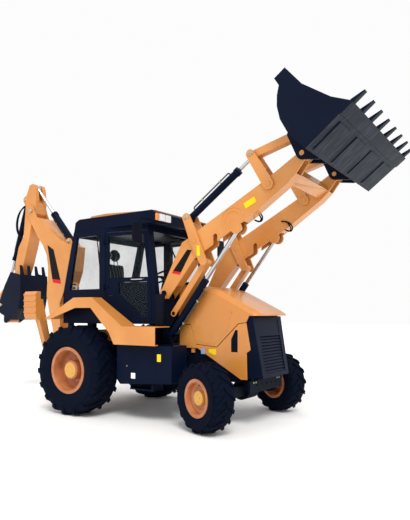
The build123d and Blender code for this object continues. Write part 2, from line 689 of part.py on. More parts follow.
fender_y0 = 672.0
fender_y1 = 1000.0
fender_t = 14.0
fender_line = [(-650, 1400), (-20, 1712), (350, 1712), (930, 1304), (1510, 1304)]
with BuildPart() as fenders:
    prism(-(fender_y0 + fender_y1) / 2, fender_y1 - fender_y0, ribbon(fender_line[::-1], fender_t))
    prism(-fender_y1 + 7, 14, [
        *fender_line, (1510, 1050), (780, 1050), (690, 1210), (330, 1560), (10, 1560), (-560, 1385),
    ])
    block(780, 1510, -fender_y1, -928, 1050, 1064)
    cab_block(0, [(-470, 1200), (1255, 1200), (1255, 1700), (1255, 2700), (-470, 2700)], Mode.SUBTRACT)
    mirror(about=Plane.XZ)
finish(fenders.part, "fenders")

# ---------------------------------------------------------------- loader linkage
arm_leg = [(1303, 1757), (1362, 1852), (1547, 2197), (1686, 2436), (1810, 2494), (1981, 2599), (2721, 2993),
           (3006, 3145), (3328, 3342)]
arm_belly = [(1448, 1679), (1891, 2211), (2086, 2323), (2750, 2703), (3217, 3019), (3335, 3128)]
plate_t = 20.0
flange_t = 18.0
arm_pin_r = 30.0
head_t = 6.0
plate_y = arm_w / 2 + side_gap + link_plate_t / 2     # middle of bellcrank, lever and ear plates


with BuildPart() as loader_arms:
    for y in (-arm_y, arm_y):
        for side_y in (y - arm_w / 2 + plate_t / 2, y + arm_w / 2 - plate_t / 2):
            prism(side_y, plate_t, [*arm_leg, (3400, 3400), (3462, 3298), *arm_belly[::-1]])
            disc(side_y, plate_t, pin_arm, 78)
            disc(side_y, plate_t, pin_lift_rod, 80)
            disc(side_y, plate_t, pin_bucket, 75)
        prism(y, arm_w - 2 * plate_t, ribbon([*arm_leg[:1:-1], (1462, 2038)], flange_t))
        prism(y, arm_w - 2 * plate_t, ribbon([(1590, 1850), (1880, 2198)], flange_t))
        prism(y, arm_w - 2 * plate_t, ribbon([(2625, 2632), *arm_belly[3:]], flange_t))
        disc(y, arm_w, pin_bucket, 60)
        disc(y, arm_w, pin_lever, 55)
        disc(y, arm_w, pin_knee, 60)
        disc(y, 2 * (plate_y + link_plate_t / 2) + 2 * head_t, pin_knee, arm_pin_r)
        disc(y, 2 * (plate_y + link_plate_t / 2) + 2 * head_t, pin_lever, arm_pin_r)
        disc(y, 2 * (plate_y + link_plate_t / 2) + 2 * head_t, pin_bucket, arm_pin_r)
        disc(y, arm_w + 2, pin_arm, 40 + turn_gap, Mode.SUBTRACT)
        # notch that the bellcrank's lower pin comes into as the arms come down
        link_in = []
        for angle in (0.55 * lift_drop, 0.78 * lift_drop, lift_drop):
            x, z = turned(angle, pin_level_top[0] - pin_knee[0], pin_level_top[1] - pin_knee[1])
            link_in.append((pin_knee[0] + x, pin_knee[1] + z, 34))
        for pair in (link_in[:2], link_in[1:]):
            hull(y, arm_w + 2, pair, Mode.SUBTRACT)
    beam_way = turned(33, 1, 0)
    beam_face = Plane(origin=(rear_axle_x + 3214, 0, 3158), x_dir=(beam_way[0], 0, beam_way[1]), z_dir=(0, -1, 0))
    with BuildSketch(beam_face) as beam:
        Rectangle(170, 145)
        Rectangle(142, 117, mode=Mode.SUBTRACT)
    extrude(beam.sketch, amount=arm_y - arm_w / 2, both=True)
finish(loader_arms.part, "loader_arms")

with BuildPart() as bellcranks:
    for y in (-arm_y, arm_y):
        for off in (-plate_y, plate_y):
            hull(y + off, link_plate_t, [(*pin_tilt_base, 58), (*pin_knee, 72)])
            hull(y + off, link_plate_t, [(*pin_knee, 72), (*pin_level_top, 55)])
            disc(y + off, link_plate_t + 2, pin_knee, arm_pin_r + turn_gap, Mode.SUBTRACT)
        disc(y, 2 * plate_y, pin_tilt_base, 25)
        disc(y, 2 * plate_y, pin_level_top, 25)
finish(bellcranks.part, "bellcranks")

link_half = 42.0
with BuildPart() as level_links:
    for y in (-arm_y, arm_y):
        hull(y, 100, [(*pin_level, link_half), (*pin_level_top, link_half)])
        hull(y, tower_w + 4, [(*pin_level, 58), (*along(pin_level, pin_level_top, 50), 58)], Mode.SUBTRACT)
        disc(y, 102, pin_level, 28 + turn_gap, Mode.SUBTRACT)
        disc(y, 102, pin_level_top, 25 + turn_gap, Mode.SUBTRACT)
finish(level_links.part, "level_links")

lift_len = 1000.0
with BuildPart() as lift_barrels:
    for y in (-arm_y, arm_y):
        disc(y, 96, pin_lift_base, 48)
        rod_along(y, pin_lift_base, pin_lift_rod, 0, lift_len, 48)
        rod_along(y, pin_lift_base, pin_lift_rod, 130, lift_len + 1, 29, Mode.SUBTRACT)
        hull(y, tower_w + 4, [(*pin_lift_base, 58), (*along(pin_lift_base, pin_lift_rod, 44), 58)], Mode.SUBTRACT)
        disc(y, 102, pin_lift_base, 30 + turn_gap, Mode.SUBTRACT)
finish(lift_barrels.part, "lift_barrels")

with BuildPart() as lift_rods:
    for y in (-arm_y, arm_y):
        rod(y, pin_lift_base, pin_lift_rod, 900, 28.5, 96, 50)
finish(lift_rods.part, "lift_rods")

tilt_len = 930.0
tilt_eye_w = 96.0
with BuildPart() as tilt_barrels:
    for y in (-arm_y, arm_y):
        barrel(y, pin_tilt_base, pin_lever_top, tilt_len, 47, 24.5, 25, tilt_eye_w, 50)
finish(tilt_barrels.part, "tilt_barrels")

with BuildPart() as tilt_rods:
    for y in (-arm_y, arm_y):
        rod(y, pin_tilt_base, pin_lever_top, 780, 24, 50, 42)
finish(tilt_rods.part, "tilt_rods")

with BuildPart() as tilt_levers:
    for y in (-arm_y, arm_y):
        for off in (-plate_y, plate_y):
            hull(y + off, link_plate_t, [(*pin_lever, 68), (*pin_lever_top, 55)])
            disc(y + off, link_plate_t + 2, pin_lever, arm_pin_r + turn_gap, Mode.SUBTRACT)
        hull(y, 2 * plate_y, [(*along(pin_lever, pin_lever_top, 190), 22), (*along(pin_lever, pin_lever_top, 250), 22)])
        disc(y, 2 * plate_y, pin_lever_top, 25)
        disc(y, 59, pin_lever_top, 26, Mode.SUBTRACT)
finish(tilt_levers.part, "tilt_levers")

with BuildPart() as push_links:
    for y in (-arm_y, arm_y):
        hull(y, 110, [(*pin_lever_top, 48), (*pin_push, 46)])
        hull(y, 60, [(*pin_lever_top, 60), (*along(pin_lever_top, pin_push, 60), 60)], Mode.SUBTRACT)
        disc(y, 112, pin_lever_top, 25 + turn_gap, Mode.SUBTRACT)
finish(push_links.part, "push_links")

bucket_half = 1160.0
bucket_t = 16.0
bucket_back = [(3307, 4046), (3363, 3960), (3341, 3857), (3339, 3738), (3375, 3589), (3457, 3443),
               (3534, 3344), (3670, 3218), (4170, 3613)]
tooth_u = turned(38.3, 1, 0)
wear_t = 12.0
bucket_mouth = [(4170, 3613), (3946, 3704), (3629, 3914), (3433, 4135), (3307, 4046)]
with BuildPart() as loader_bucket:
    shell = ribbon(bucket_back, bucket_t)
    room = shell[len(bucket_back):][::-1]
    prism(0, 2 * bucket_half, shell)
    for y in (-arm_y, arm_y):
        for off in (-plate_y, plate_y):
            hull(y + off, link_plate_t, [(*pin_bucket, 72), (*pin_push, 55), (3620, 3260, 20), (3400, 3660, 20)])
            disc(y + off, link_plate_t + 2, pin_bucket, arm_pin_r + turn_gap, Mode.SUBTRACT)
    prism(0, 2 * bucket_half, [*room, (4400, 3800), (3700, 4400), (3500, 4400), room[0]], Mode.SUBTRACT)
    for y in (-bucket_half + 10, bucket_half - 10):
        prism(y, 20, [*bucket_back, *bucket_mouth[1:-1]])
    # wear plates under the floor: (middle, width, from the heel, to)
    floor_run = math.dist(*bucket_back[-2:])
    for y, width, u0, u1 in (
        (0, 2 * bucket_half, floor_run - 170, floor_run),
        (-860, 330, 30, 420), (-290, 330, 30, 420), (290, 330, 30, 420), (860, 330, 30, 420),
    ):
        prism(y, width, [on_edge(bucket_back[-2], tooth_u, u, n)
                         for u, n in ((u0, 0), (u0 + wear_t, -wear_t), (u1 - 2, -wear_t), (u1, 0))])
finish(loader_bucket.part, "loader_bucket")

tooth_line = [(0, 0), (0, bucket_t), (-110, bucket_t), (-110, 34), (0, 46), (150, 10), (150, 0)]
with BuildPart() as bucket_teeth:
    for i in range(8):
        y = -1085 + 310 * i
        prism(y, 70, [on_edge(bucket_back[-1], tooth_u, u, n) for u, n in tooth_line])
finish(bucket_teeth.part, "bucket_teeth")

# ---------------------------------------------------------------- rear frame and stabilisers
neck_half = 92.0
post_r = 100.0
lug_z = ((560, 620), (940, 1000))
frame_x0 = -730.0
frame_x1 = -690.0
with BuildPart() as rear_frame:
    with BuildSketch(Plane(origin=(rear_axle_x + frame_x0, 0, 0), x_dir=(0, 1, 0), z_dir=(1, 0, 0))) as plate:
        with BuildLine():
            Polyline((-640, 460), (640, 460), (800, 500), (800, 640), (700, 1000), (560, 1200),
                     (-560, 1200), (-700, 1000), (-800, 640), (-800, 500), close=True)
        make_face()
        with Locations((0, 780)):
            Rectangle(260, 260, mode=Mode.SUBTRACT)
    extrude(plate.sketch, amount=frame_x1 - frame_x0)
    for z0, z1 in lug_z:
        with BuildSketch(Plane.XY.offset(z0)) as lug:
            with Locations((rear_axle_x + swing_x, 0)):
                Circle(neck_half)
            with Locations((rear_axle_x + (swing_x + frame_x0) / 2, 0)):
                Rectangle(frame_x0 - swing_x, 2 * neck_half)
        extrude(lug.sketch, amount=z1 - z0)
        with Locations((rear_axle_x + swing_x, 0, (z0 + z1) / 2)):
            Cylinder(45, z1 - z0)
    for z in (630, 930):
        with Locations((rear_axle_x + swing_x, 0, z)):
            Cylinder(45, 60)
    for s in (-1, 1):
        y, z = stab_pin[0] * s, stab_pin[1]
        with BuildSketch(Plane(origin=(rear_axle_x + frame_x0, y, z), z_dir=(-1, 0, 0))) as boss:
            Circle(34)
        extrude(boss.sketch, amount=stab_w + 26)
finish(rear_frame.part, "rear_frame")

stab_leg = [(stab_pin[0] + 20, 480), (stab_pin[0] + 85, 540), (890, 930), (1030, 1380), (1030, 1500),
            (stab_pad_y0, 1700), (960, 1700), (790, 960), (650, 590), (660, 500)]
for name, s in (("right", -1), ("left", 1)):
    with BuildPart() as leg:
        x0 = rear_axle_x + stab_x
        with BuildSketch(Plane(origin=(x0, 0, 0), x_dir=(0, s, 0), z_dir=(s, 0, 0))) as outline:
            with BuildLine():
                Polyline(*[(y, z) for y, z in stab_leg], close=True)
            make_face()
            with Locations(stab_pin):
                Circle(80)
        extrude(outline.sketch, amount=stab_w / 2, both=True)
        with BuildSketch(Plane(origin=(x0, 0, 0), x_dir=(0, s, 0), z_dir=(s, 0, 0))) as bore:
            with Locations(stab_pin):
                Circle(34 + turn_gap)
        extrude(bore.sketch, amount=stab_w, both=True, mode=Mode.SUBTRACT)
        with BuildSketch(Plane(origin=(rear_axle_x - 880, 0, 0), x_dir=(0, s, 0), z_dir=(s, 0, 0))) as pad:
            with BuildLine():
                Polyline((stab_pad_y0, 1390), (stab_pad_y1 - 20, 1390), (stab_pad_y1, 1450), (stab_pad_y1, 1780),
                         (stab_pad_y1 - 30, 1820), (stab_pad_y0, 1820), close=True)
            make_face()
        extrude(pad.sketch, amount=140, both=True)
        for z in (1500, 1590, 1680, 1770):
            y = s * (stab_pad_y1 + 4)
            block(-1020, -740, y - 6, y + 6, z - 12, z + 12)
    finish(leg.part, f"stabiliser_{name}")

# ---------------------------------------------------------------- digging arm
boom_half = 150.0
ear_y = 173.0
ear_t = 34.0
with BuildPart() as swing_post:
    with Locations((rear_axle_x + swing_x, 0, 780)):
        Cylinder(post_r, 316)
    block(-1195, swing_x, -190, 190, 640, 920)
    for y in (-ear_y, ear_y):
        hull(y, ear_t, [(*pin_boom, 100), (-1190, 740, 88), (*pin_boom_base, 48)])
    disc(0, 2 * ear_y + ear_t + 12, pin_boom, 40)
    disc(0, 2 * ear_y + ear_t + 12, pin_boom_base, 30)
    with Locations((rear_axle_x + swing_x, 0, 630)):
        Cylinder(45 + turn_gap, 64, mode=Mode.SUBTRACT)
    with Locations((rear_axle_x + swing_x, 0, 930)):
        Cylinder(45 + turn_gap, 64, mode=Mode.SUBTRACT)
finish(swing_post.part, "swing_post")

boom_inner = [(-1450, 880), (-1470, 1200), (-1560, 1500), (-1631, 1790), (-1618, 1976), (-1594, 2146),
              (-1594, 2316), (-1631, 2522), (-1733, 2698), (-1864, 2847), (-2010, 3060), (-2160, 3290)]
boom_outer = [(-2130, 3430), (-2020, 3420), (-1916, 3223), (-1787, 3183), (-1607, 3030), (-1431, 2879),
              (-1259, 2748), (-971, 2628), (-1030, 2206), (-1137, 1962), (-1295, 1652), (-1275, 1100), (-1240, 960)]
dip_slot_r = 245.0
with BuildPart() as boom:
    prism(0, 2 * boom_half, [*boom_inner, *boom_outer])
    disc(0, 2 * boom_half, pin_boom, 118)
    disc(0, 2 * boom_half, pin_dipper, 98)
    hull(0, 2 * 88, [(*pin_boom_rod, 52), (-1240, 1900, 60), (-1180, 2060, 40)])
    # slot as long as the cylinder's eye drifts in it
    hull(0, 94, [(-1165, 1922, 60), (-1030, 1945, 62), (-1160, 1700, 60), (-1060, 1700, 60)], Mode.SUBTRACT)
    disc(0, 252, pin_dipper, dip_slot_r, Mode.SUBTRACT)
    hull(0, 2 * 92, [(*pin_dip_base, 52), (-1250, 2640, 60), (-1060, 2600, 50)])
    hull(0, 126, [(*pin_dip_base, 68), (*along(pin_dip_base, pin_dip_rod, 500), 68)], Mode.SUBTRACT)
    disc(0, 2 * boom_half + 20, pin_dipper, 40)
    disc(0, 2 * 92 + 16, pin_dip_base, 28)
    disc(0, 2 * boom_half + 2, pin_boom, 40 + turn_gap, Mode.SUBTRACT)
finish(boom.part, "boom")

dipper_half = 120.0
dipper_line = [(-2130, 3830), (-2026, 3830), (-1980, 3760), (-1953, 3553), (-1975, 3300), (-2087, 3095),
               (-2169, 2786), (-2307, 2406), (-2677, 1620), (-2822, 1665), (-2558, 2276), (-2529, 2455),
               (-2446, 2718), (-2307, 2902), (-2250, 3400), (-2240, 3620)]
rocker_r = 28.0
with BuildPart() as dipper:
    prism(0, 2 * dipper_half, dipper_line)
    disc(0, 2 * dipper_half, pin_dip_rod, 60)
    disc(0, 2 * dipper_half, pin_dipper, 96)
    disc(0, 2 * dipper_half, pin_dig, 76)
    hull(0, 160, [(*pin_curl_base, 55), (-2200, 3450, 90), (-2180, 3640, 60)])
    hull(0, 98, [(*pin_curl_base, 64), (*along(pin_curl_base, pin_curl, 300), 64)], Mode.SUBTRACT)
    # open slot as long as the cylinder's eye drifts in it
    hull(0, 90, [(-2084, 3697, 62), (-2112, 3808, 62), (-1850, 3480, 62), (-1850, 3980, 62)], Mode.SUBTRACT)
    disc(0, 250, pin_dipper, 40 + turn_gap, Mode.SUBTRACT)
    disc(0, 2 * dipper_half + 90, pin_rocker, rocker_r)
    disc(0, 330, pin_dig, 36)
    disc(0, 160, pin_curl_base, 28)
finish(dipper.part, "dipper")

rocker_y = 136.0
with BuildPart() as rockers:
    for y in (-rocker_y, rocker_y):
        hull(y, 22, [(*pin_rocker, 52), (*pin_curl, 50)])
        disc(y, 24, pin_rocker, rocker_r + turn_gap, Mode.SUBTRACT)
    disc(0, 2 * rocker_y, pin_curl, 27)
    disc(0, 98, pin_curl, 28, Mode.SUBTRACT)
finish(rockers.part, "rockers")

with BuildPart() as dig_link:
    hull(0, 236, [(*pin_curl, 46), (*pin_dig_link, 46)])
    hull(0, 100, [(*pin_curl, 64), (*along(pin_curl, pin_dig_link, 60), 64)], Mode.SUBTRACT)
    disc(0, 240, pin_curl, 27 + turn_gap, Mode.SUBTRACT)
finish(dig_link.part, "dig_link")

dig_half = 305.0
dig_way = (-0.0054, 1.0)      # along the floor to the cutting edge
dig_tooth = [(0, 0), (0, 16), (-100, 16), (-100, 34), (0, 48), (180, 64), (180, 54)]
dig_t = 16.0
dig_back = [(-2160, 2180), (-2158, 1812), (-2220, 1560), (-2400, 1362), (-2720, 1470)]
dig_side = [(-2160, 2180), (-2158, 1812), (-2220, 1560), (-2400, 1362), (-2760, 1490), (-2840, 1560), (-2760, 1730),
            (-2610, 2000), (-2440, 2240)]
with BuildPart() as dig_bucket:
    prism(0, 2 * dig_half, ribbon(dig_back[::-1], dig_t))
    for y in (-dig_half + 8, dig_half - 8):
        prism(y, 16, dig_side)
    for y in (-146, 146):
        hull(y, 26, [(*pin_dig, 78), (*pin_dig_link, 52), (-2560, 1425, 16)])
        disc(y, 28, pin_dig, 36 + turn_gap, Mode.SUBTRACT)
    room = ribbon(dig_back[::-1], dig_t)[len(dig_back):][::-1]
finish(dig_bucket.part, "dig_bucket")

with BuildPart() as dig_teeth:
    for y in (-245, -82, 82, 245):
        prism(y, 55, [on_edge(dig_back[0], dig_way, u, n) for u, n in dig_tooth])
finish(dig_teeth.part, "dig_teeth")

with BuildPart() as boom_barrel:
    barrel(0, pin_boom_base, pin_boom_rod, 650, 52, 30.5, 30, 90, 54)
finish(boom_barrel.part, "boom_barrel")
with BuildPart() as boom_rod:
    rod(0, pin_boom_base, pin_boom_rod, 560, 30, 86, 50)
finish(boom_rod.part, "boom_rod")
with BuildPart() as dipper_barrel:
    barrel(0, pin_dip_base, pin_dip_rod, 706, 58, 30.5, 28, 118, 56)
finish(dipper_barrel.part, "dipper_barrel")
with BuildPart() as dipper_rod:
    rod(0, pin_dip_base, pin_dip_rod, 692, 30, 80, 54)
finish(dipper_rod.part, "dipper_rod")
with BuildPart() as curl_barrel:
    barrel(0, pin_curl_base, pin_curl, 1170, 46, 26.5, 28, 90, 50)
finish(curl_barrel.part, "curl_barrel")
with BuildPart() as curl_rod:
    rod(0, pin_curl_base, pin_curl, 1100, 26, 88, 45)
finish(curl_rod.part, "curl_rod")
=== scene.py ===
import bpy, bmesh, json, math
from mathutils import Vector, Matrix
from mathutils.bvhtree import BVHTree


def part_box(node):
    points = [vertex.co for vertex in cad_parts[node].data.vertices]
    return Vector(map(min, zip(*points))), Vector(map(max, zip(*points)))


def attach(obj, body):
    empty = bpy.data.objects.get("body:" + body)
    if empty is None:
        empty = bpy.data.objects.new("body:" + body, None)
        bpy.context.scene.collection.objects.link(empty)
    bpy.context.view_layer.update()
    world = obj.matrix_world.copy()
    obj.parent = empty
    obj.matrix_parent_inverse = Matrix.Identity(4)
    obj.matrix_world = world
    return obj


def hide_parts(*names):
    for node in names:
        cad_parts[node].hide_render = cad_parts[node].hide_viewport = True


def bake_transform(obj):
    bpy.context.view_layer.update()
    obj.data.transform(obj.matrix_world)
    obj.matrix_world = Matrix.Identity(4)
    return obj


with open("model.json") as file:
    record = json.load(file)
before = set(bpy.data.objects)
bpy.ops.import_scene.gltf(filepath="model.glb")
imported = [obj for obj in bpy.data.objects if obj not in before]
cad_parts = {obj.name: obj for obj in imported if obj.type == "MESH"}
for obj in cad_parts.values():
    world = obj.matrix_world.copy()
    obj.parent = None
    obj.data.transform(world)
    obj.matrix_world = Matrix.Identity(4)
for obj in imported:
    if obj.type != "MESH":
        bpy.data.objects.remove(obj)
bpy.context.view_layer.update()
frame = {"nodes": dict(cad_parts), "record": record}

nodes = frame["nodes"]
joints = frame["record"]["behaviour"]["joints"]
pins = {joint["name"]: Vector(joint["pos_m"]) for joint in joints if joint.get("pos_m")}
spins = {joint["child"]: Vector(joint["axis"]).normalized() for joint in joints}
axleX = pins["rear_wheel_spin_right"].x  # side outlines below are measured forward from the rear axle
sideNames = {-1: "right", 0: "middle", 1: "left"}


class Wire:  # a socket that takes part in sums
    def __init__(self, shade, socket):
        self.shade, self.socket = shade, socket

    def sum(self, operation, a, b=None):
        given = {0: a} if b is None else {0: a, 1: b}
        return self.shade.add("ShaderNodeMath", dict(operation=operation), given)

    def __add__(self, other): return self.sum("ADD", self, other)
    def __radd__(self, other): return self.sum("ADD", other, self)
    def __sub__(self, other): return self.sum("SUBTRACT", self, other)
    def __rsub__(self, other): return self.sum("SUBTRACT", other, self)
    def __mul__(self, other): return self.sum("MULTIPLY", self, other)
    def __rmul__(self, other): return self.sum("MULTIPLY", other, self)
    def __truediv__(self, other): return self.sum("DIVIDE", self, other)
    def __pow__(self, other): return self.sum("POWER", self, other)
    def __gt__(self, other): return self.sum("GREATER_THAN", self, other)
    def __lt__(self, other): return self.sum("LESS_THAN", self, other)
    def clipped(self): return self.shade.add("ShaderNodeClamp", {}, {0: self})


class Shade:  # one material and its nodes
    def __init__(self, name):
        self.material = bpy.data.materials.new(name)
        self.material.use_nodes = True
        self.tree = self.material.node_tree
        self.tree.nodes.clear()
        self.places = None

    def add(self, kind, settings=None, sockets=None, out=0):
        node = self.tree.nodes.new(kind)
        for key, value in (settings or {}).items():
            setattr(node, key, value)
        for key, value in (sockets or {}).items():
            target = node.inputs[key]
            if isinstance(value, Wire):
                self.tree.links.new(value.socket, target)
            else:
                colour = target.type == "RGBA" and len(value) == 3
                target.default_value = (*value, 1) if colour else value
        return Wire(self, node.outputs[out]) if node.outputs else None

    def place(self):
        if self.places is None:
            self.places = self.add("ShaderNodeTexCoord", out="Object")
        return self.places

    def vector(self, operation, a, b, out=0):
        return self.add("ShaderNodeVectorMath", dict(operation=operation), {0: a, 1: b}, out=out)

    def part(self, vector, axis):
        return self.add("ShaderNodeSeparateXYZ", {}, {0: vector}, out=axis)

    def noise(self, scale, detail=3.0, stretch=None, rough=0.5):
        at = self.place()
        if stretch:
            at = self.add("ShaderNodeMapping", {}, {"Vector": at, "Scale": stretch})
        given = {"Vector": at, "Scale": scale, "Detail": detail, "Roughness": rough}
        return self.add("ShaderNodeTexNoise", {}, given)

    def mix(self, factor, a, b):
        node = self.tree.nodes.new("ShaderNodeMix")
        node.data_type = "RGBA"
        for key, value in ((0, factor), (6, a), (7, b)):
            if isinstance(value, Wire):
                self.tree.links.new(value.socket, node.inputs[key])
            else:
                node.inputs[key].default_value = value if key == 0 else (*value, 1)
        return Wire(self, node.outputs[2])

    def band(self, value, low, high):
        given = {0: value, 1: low, 2: high, 3: 0.0, 4: 1.0}
        return self.add("ShaderNodeMapRange", dict(interpolation_type="SMOOTHSTEP"), given)

    def bump(self, height, strength, distance):
        given = {"Height": height, "Strength": strength, "Distance": distance}
        return self.add("ShaderNodeBump", {}, given)

    def skin(self, **sockets):
        given = {key.replace("_", " "): value for key, value in sockets.items()}
        shader = self.add("ShaderNodeBsdfPrincipled", {}, given)
        self.add("ShaderNodeOutputMaterial", {}, {0: shader})
        return self.material


def dress(material, *names):
    for name in names:
        mesh = nodes[name].data
        mesh.materials.clear()
        mesh.materials.append(material)


# painted metal; colours are linear
paintLook = dict(base=(0.60, 0.225, 0.040), faded=(0.68, 0.285, 0.065), dust=(0.55, 0.36, 0.18),
                 rough=0.34, coat=0.3, shine=0.5)
darkLook = dict(base=(0.0009, 0.0036, 0.0150), faded=(0.0018, 0.0058, 0.0210), dust=(0.030, 0.034, 0.042),
                rough=0.36, coat=0.0, shine=0.06)
frameLook = dict(base=(0.0016, 0.0034, 0.0110), faded=(0.0040, 0.0062, 0.0150), dust=(0.040, 0.038, 0.038),
                 rough=0.55, coat=0.0, shine=0.06)


def paint(name, look):
    shade = Shade(name)
    clouds = shade.noise(1.6, 4.0)
    grain = shade.noise(38.0, 3.0)
    upward = shade.part(shade.add("ShaderNodeNewGeometry", out="Normal"), 2)
    settled = (shade.band(upward, 0.35, 0.95) * shade.band(shade.noise(4.5, 6.0), 0.48, 0.78) * 0.3).clipped()
    colour = shade.mix(shade.band(clouds, 0.35, 0.68), look["base"], look["faded"])
    colour = shade.mix(shade.band(grain, 0.52, 0.75) * 0.12, colour, look["faded"])
    colour = shade.mix(settled, colour, look["dust"])
    height = shade.noise(220.0, 2.0) * 0.5 + clouds * 0.5
    return shade.skin(Base_Color=colour, Roughness=look["rough"] + settled * 0.3 + grain * 0.08,
                      Coat_Weight=look["coat"], Coat_Roughness=0.1, Specular_IOR_Level=look["shine"],
                      Normal=shade.bump(height, 0.05, 0.002))


rimLook = dict(base=(0.40, 0.125, 0.040), faded=(0.50, 0.185, 0.065), dust=(0.28, 0.13, 0.07),
               rough=0.40, coat=0.2, hub=(0.66, 0.33, 0.045), hubRadius=dict(rear=0.112, front=0.094))


def rimPaint(name, wheel, centre, hubR):
    shade = Shade(name)
    away = shade.vector("SUBTRACT", shade.place(), tuple(centre))
    along = shade.vector("DOT_PRODUCT", away, tuple(spins[wheel]), out="Value")
    reach = shade.vector("LENGTH", away, (0, 0, 0), out="Value")
    spread = (reach * reach - along * along) ** 0.5
    mottle = shade.noise(7.0, 5.0)
    metal = shade.mix(shade.band(mottle, 0.35, 0.7), rimLook["base"], rimLook["faded"])
    metal = shade.mix(shade.band(shade.noise(30.0, 4.0), 0.55, 0.8) * 0.35, metal, rimLook["dust"])
    colour = shade.mix(spread < hubR, metal, rimLook["hub"])
    return shade.skin(Base_Color=colour, Roughness=rimLook["rough"] + mottle * 0.12, Coat_Weight=rimLook["coat"],
                      Normal=shade.bump(shade.noise(160.0, 2.0), 0.08, 0.001))


chromeLook = dict(steel=(0.55, 0.56, 0.58), rough=0.12)


def chrome():
    shade = Shade("rodChrome")
    smear = shade.noise(18.0, 4.0, (1.0, 1.0, 0.2))
    return shade.skin(Base_Color=chromeLook["steel"], Metallic=1.0, Roughness=chromeLook["rough"] + smear * 0.14,
                      Normal=shade.bump(smear, 0.02, 0.001))


rubberLook = dict(tyre=dict(tone=(0.0014, 0.0036, 0.0120), dust=(0.0060, 0.0090, 0.0200)),
                  hose=dict(tone=(0.004, 0.005, 0.007), dust=(0.012, 0.012, 0.013)), rough=0.66, shine=0.06)


def rubber(name, tone, dust):
    shade = Shade(name)
    spots = shade.noise(9.0, 6.0)
    fine = shade.noise(120.0, 3.0)
    colour = shade.mix(shade.band(spots, 0.48, 0.8) * 0.4, tone, dust)
    return shade.skin(Base_Color=colour, Roughness=rubberLook["rough"] + spots * 0.2,
                      Specular_IOR_Level=rubberLook["shine"], Normal=shade.bump(fine, 0.2, 0.001))


wornLook = dict(steel=(0.011, 0.016, 0.026), streak=(0.046, 0.054, 0.066), rust=(0.022, 0.020, 0.020),
                rough=0.46, shine=0.10)


def wornSteel():
    shade = Shade("bucketSteel")
    scrape = shade.noise(6.0, 7.0, (0.35, 3.0, 1.0), 0.62)
    patch = shade.noise(2.2, 5.0)
    lowered = shade.part(shade.add("ShaderNodeNewGeometry", out="Normal"), 2)
    under = shade.band(lowered, -0.15, -0.55)
    worn = (under * 0.9 + shade.band(patch, 0.62, 0.8) * 0.12).clipped()
    steel = shade.mix(shade.band(scrape, 0.42, 0.72), wornLook["steel"], wornLook["streak"])
    steel = shade.mix(shade.band(shade.noise(11.0, 5.0), 0.56, 0.75) * 0.35, steel, wornLook["rust"])
    colour = shade.mix(worn, shade.mix(patch, darkLook["base"], darkLook["faded"]), steel)
    return shade.skin(Base_Color=colour, Metallic=worn * 0.25, Roughness=wornLook["rough"] + scrape * 0.14,
                      Specular_IOR_Level=wornLook["shine"], Normal=shade.bump(scrape, 0.18, 0.003))


ironLook = dict(low=(0.02, 0.02, 0.022), high=(0.05, 0.048, 0.043), rough=0.6)


def castIron():
    shade = Shade("castIron")
    grit = shade.noise(60.0, 5.0)
    return shade.skin(Base_Color=shade.mix(grit, ironLook["low"], ironLook["high"]),
                      Roughness=ironLook["rough"] + grit * 0.2, Specular_IOR_Level=0.3,
                      Normal=shade.bump(grit, 0.4, 0.002))


zincLook = dict(bolts=dict(low=(0.42, 0.36, 0.24), high=(0.62, 0.54, 0.38)),
                pipes=dict(low=(0.055, 0.058, 0.062), high=(0.13, 0.135, 0.14)), rough=0.28)


def zinc(name, low, high):
    shade = Shade(name)
    smear = shade.noise(55.0, 4.0)
    return shade.skin(Base_Color=shade.mix(smear, low, high), Metallic=0.8,
                      Roughness=zincLook["rough"] + smear * 0.2, Normal=shade.bump(smear, 0.05, 0.0005))


# seat cloth: its near-black tone is partly the cloth's own dark colour and partly painted shade, made darker so
# the cab's inside looks black
clothAndShadeLook = dict(low=(0.003, 0.0045, 0.008), high=(0.008, 0.010, 0.015), stripe=(0.22, 0.25, 0.26),
                 stripesPerMetre=16.0, stripeFrom=0.36, stripeTo=0.52, rough=0.85)


def fabric():
    shade = Shade("seatFabricAndShade")
    threads = {"Vector": shade.place(), "Scale": 120.0, "Distortion": 1.5}
    weave = shade.add("ShaderNodeTexWave", dict(bands_direction="DIAGONAL"), threads)
    across = shade.part(shade.place(), 1) * clothAndShadeLook["stripesPerMetre"]
    stripe = across - across.sum("FLOOR", across)
    line = (stripe > clothAndShadeLook["stripeFrom"]) * (stripe < clothAndShadeLook["stripeTo"])
    cloth = shade.mix(shade.noise(240.0, 2.0), clothAndShadeLook["low"], clothAndShadeLook["high"])
    return shade.skin(Base_Color=shade.mix(line * 0.6, cloth, clothAndShadeLook["stripe"]), Roughness=clothAndShadeLook["rough"],
                      Sheen_Weight=0.1, Specular_IOR_Level=0.2, Normal=shade.bump(weave, 0.3, 0.001))


plasticLook = dict(tone=(0.0010, 0.0026, 0.0090), bright=(0.0026, 0.0050, 0.0130), rough=0.5, shine=0.08)


def plastic(name, tone, bright, rough):
    shade = Shade(name)
    grain = shade.noise(300.0, 2.0)
    return shade.skin(Base_Color=shade.mix(shade.noise(3.0, 4.0), tone, bright), Roughness=rough + grain * 0.1,
                      Specular_IOR_Level=plasticLook["shine"], Normal=shade.bump(grain, 0.12, 0.0006))


glassLook = dict(tint=(0.008, 0.022, 0.026), veil=0.07, film=0.06, rough=0.03, shine=0.6)


def glass(name):
    shade = Shade(name)
    film = shade.noise(2.4, 5.0)
    cover = shade.band(film, 0.3, 0.8) * glassLook["film"] + glassLook["veil"]
    return shade.skin(Base_Color=glassLook["tint"], Roughness=glassLook["rough"] + film * 0.04, Alpha=cover,
                      Specular_IOR_Level=glassLook["shine"])


lensLook = dict(clear=(0.80, 0.82, 0.84), amber=(0.85, 0.25, 0.012), amberFrom=0.742, rough=0.12, coat=0.6)


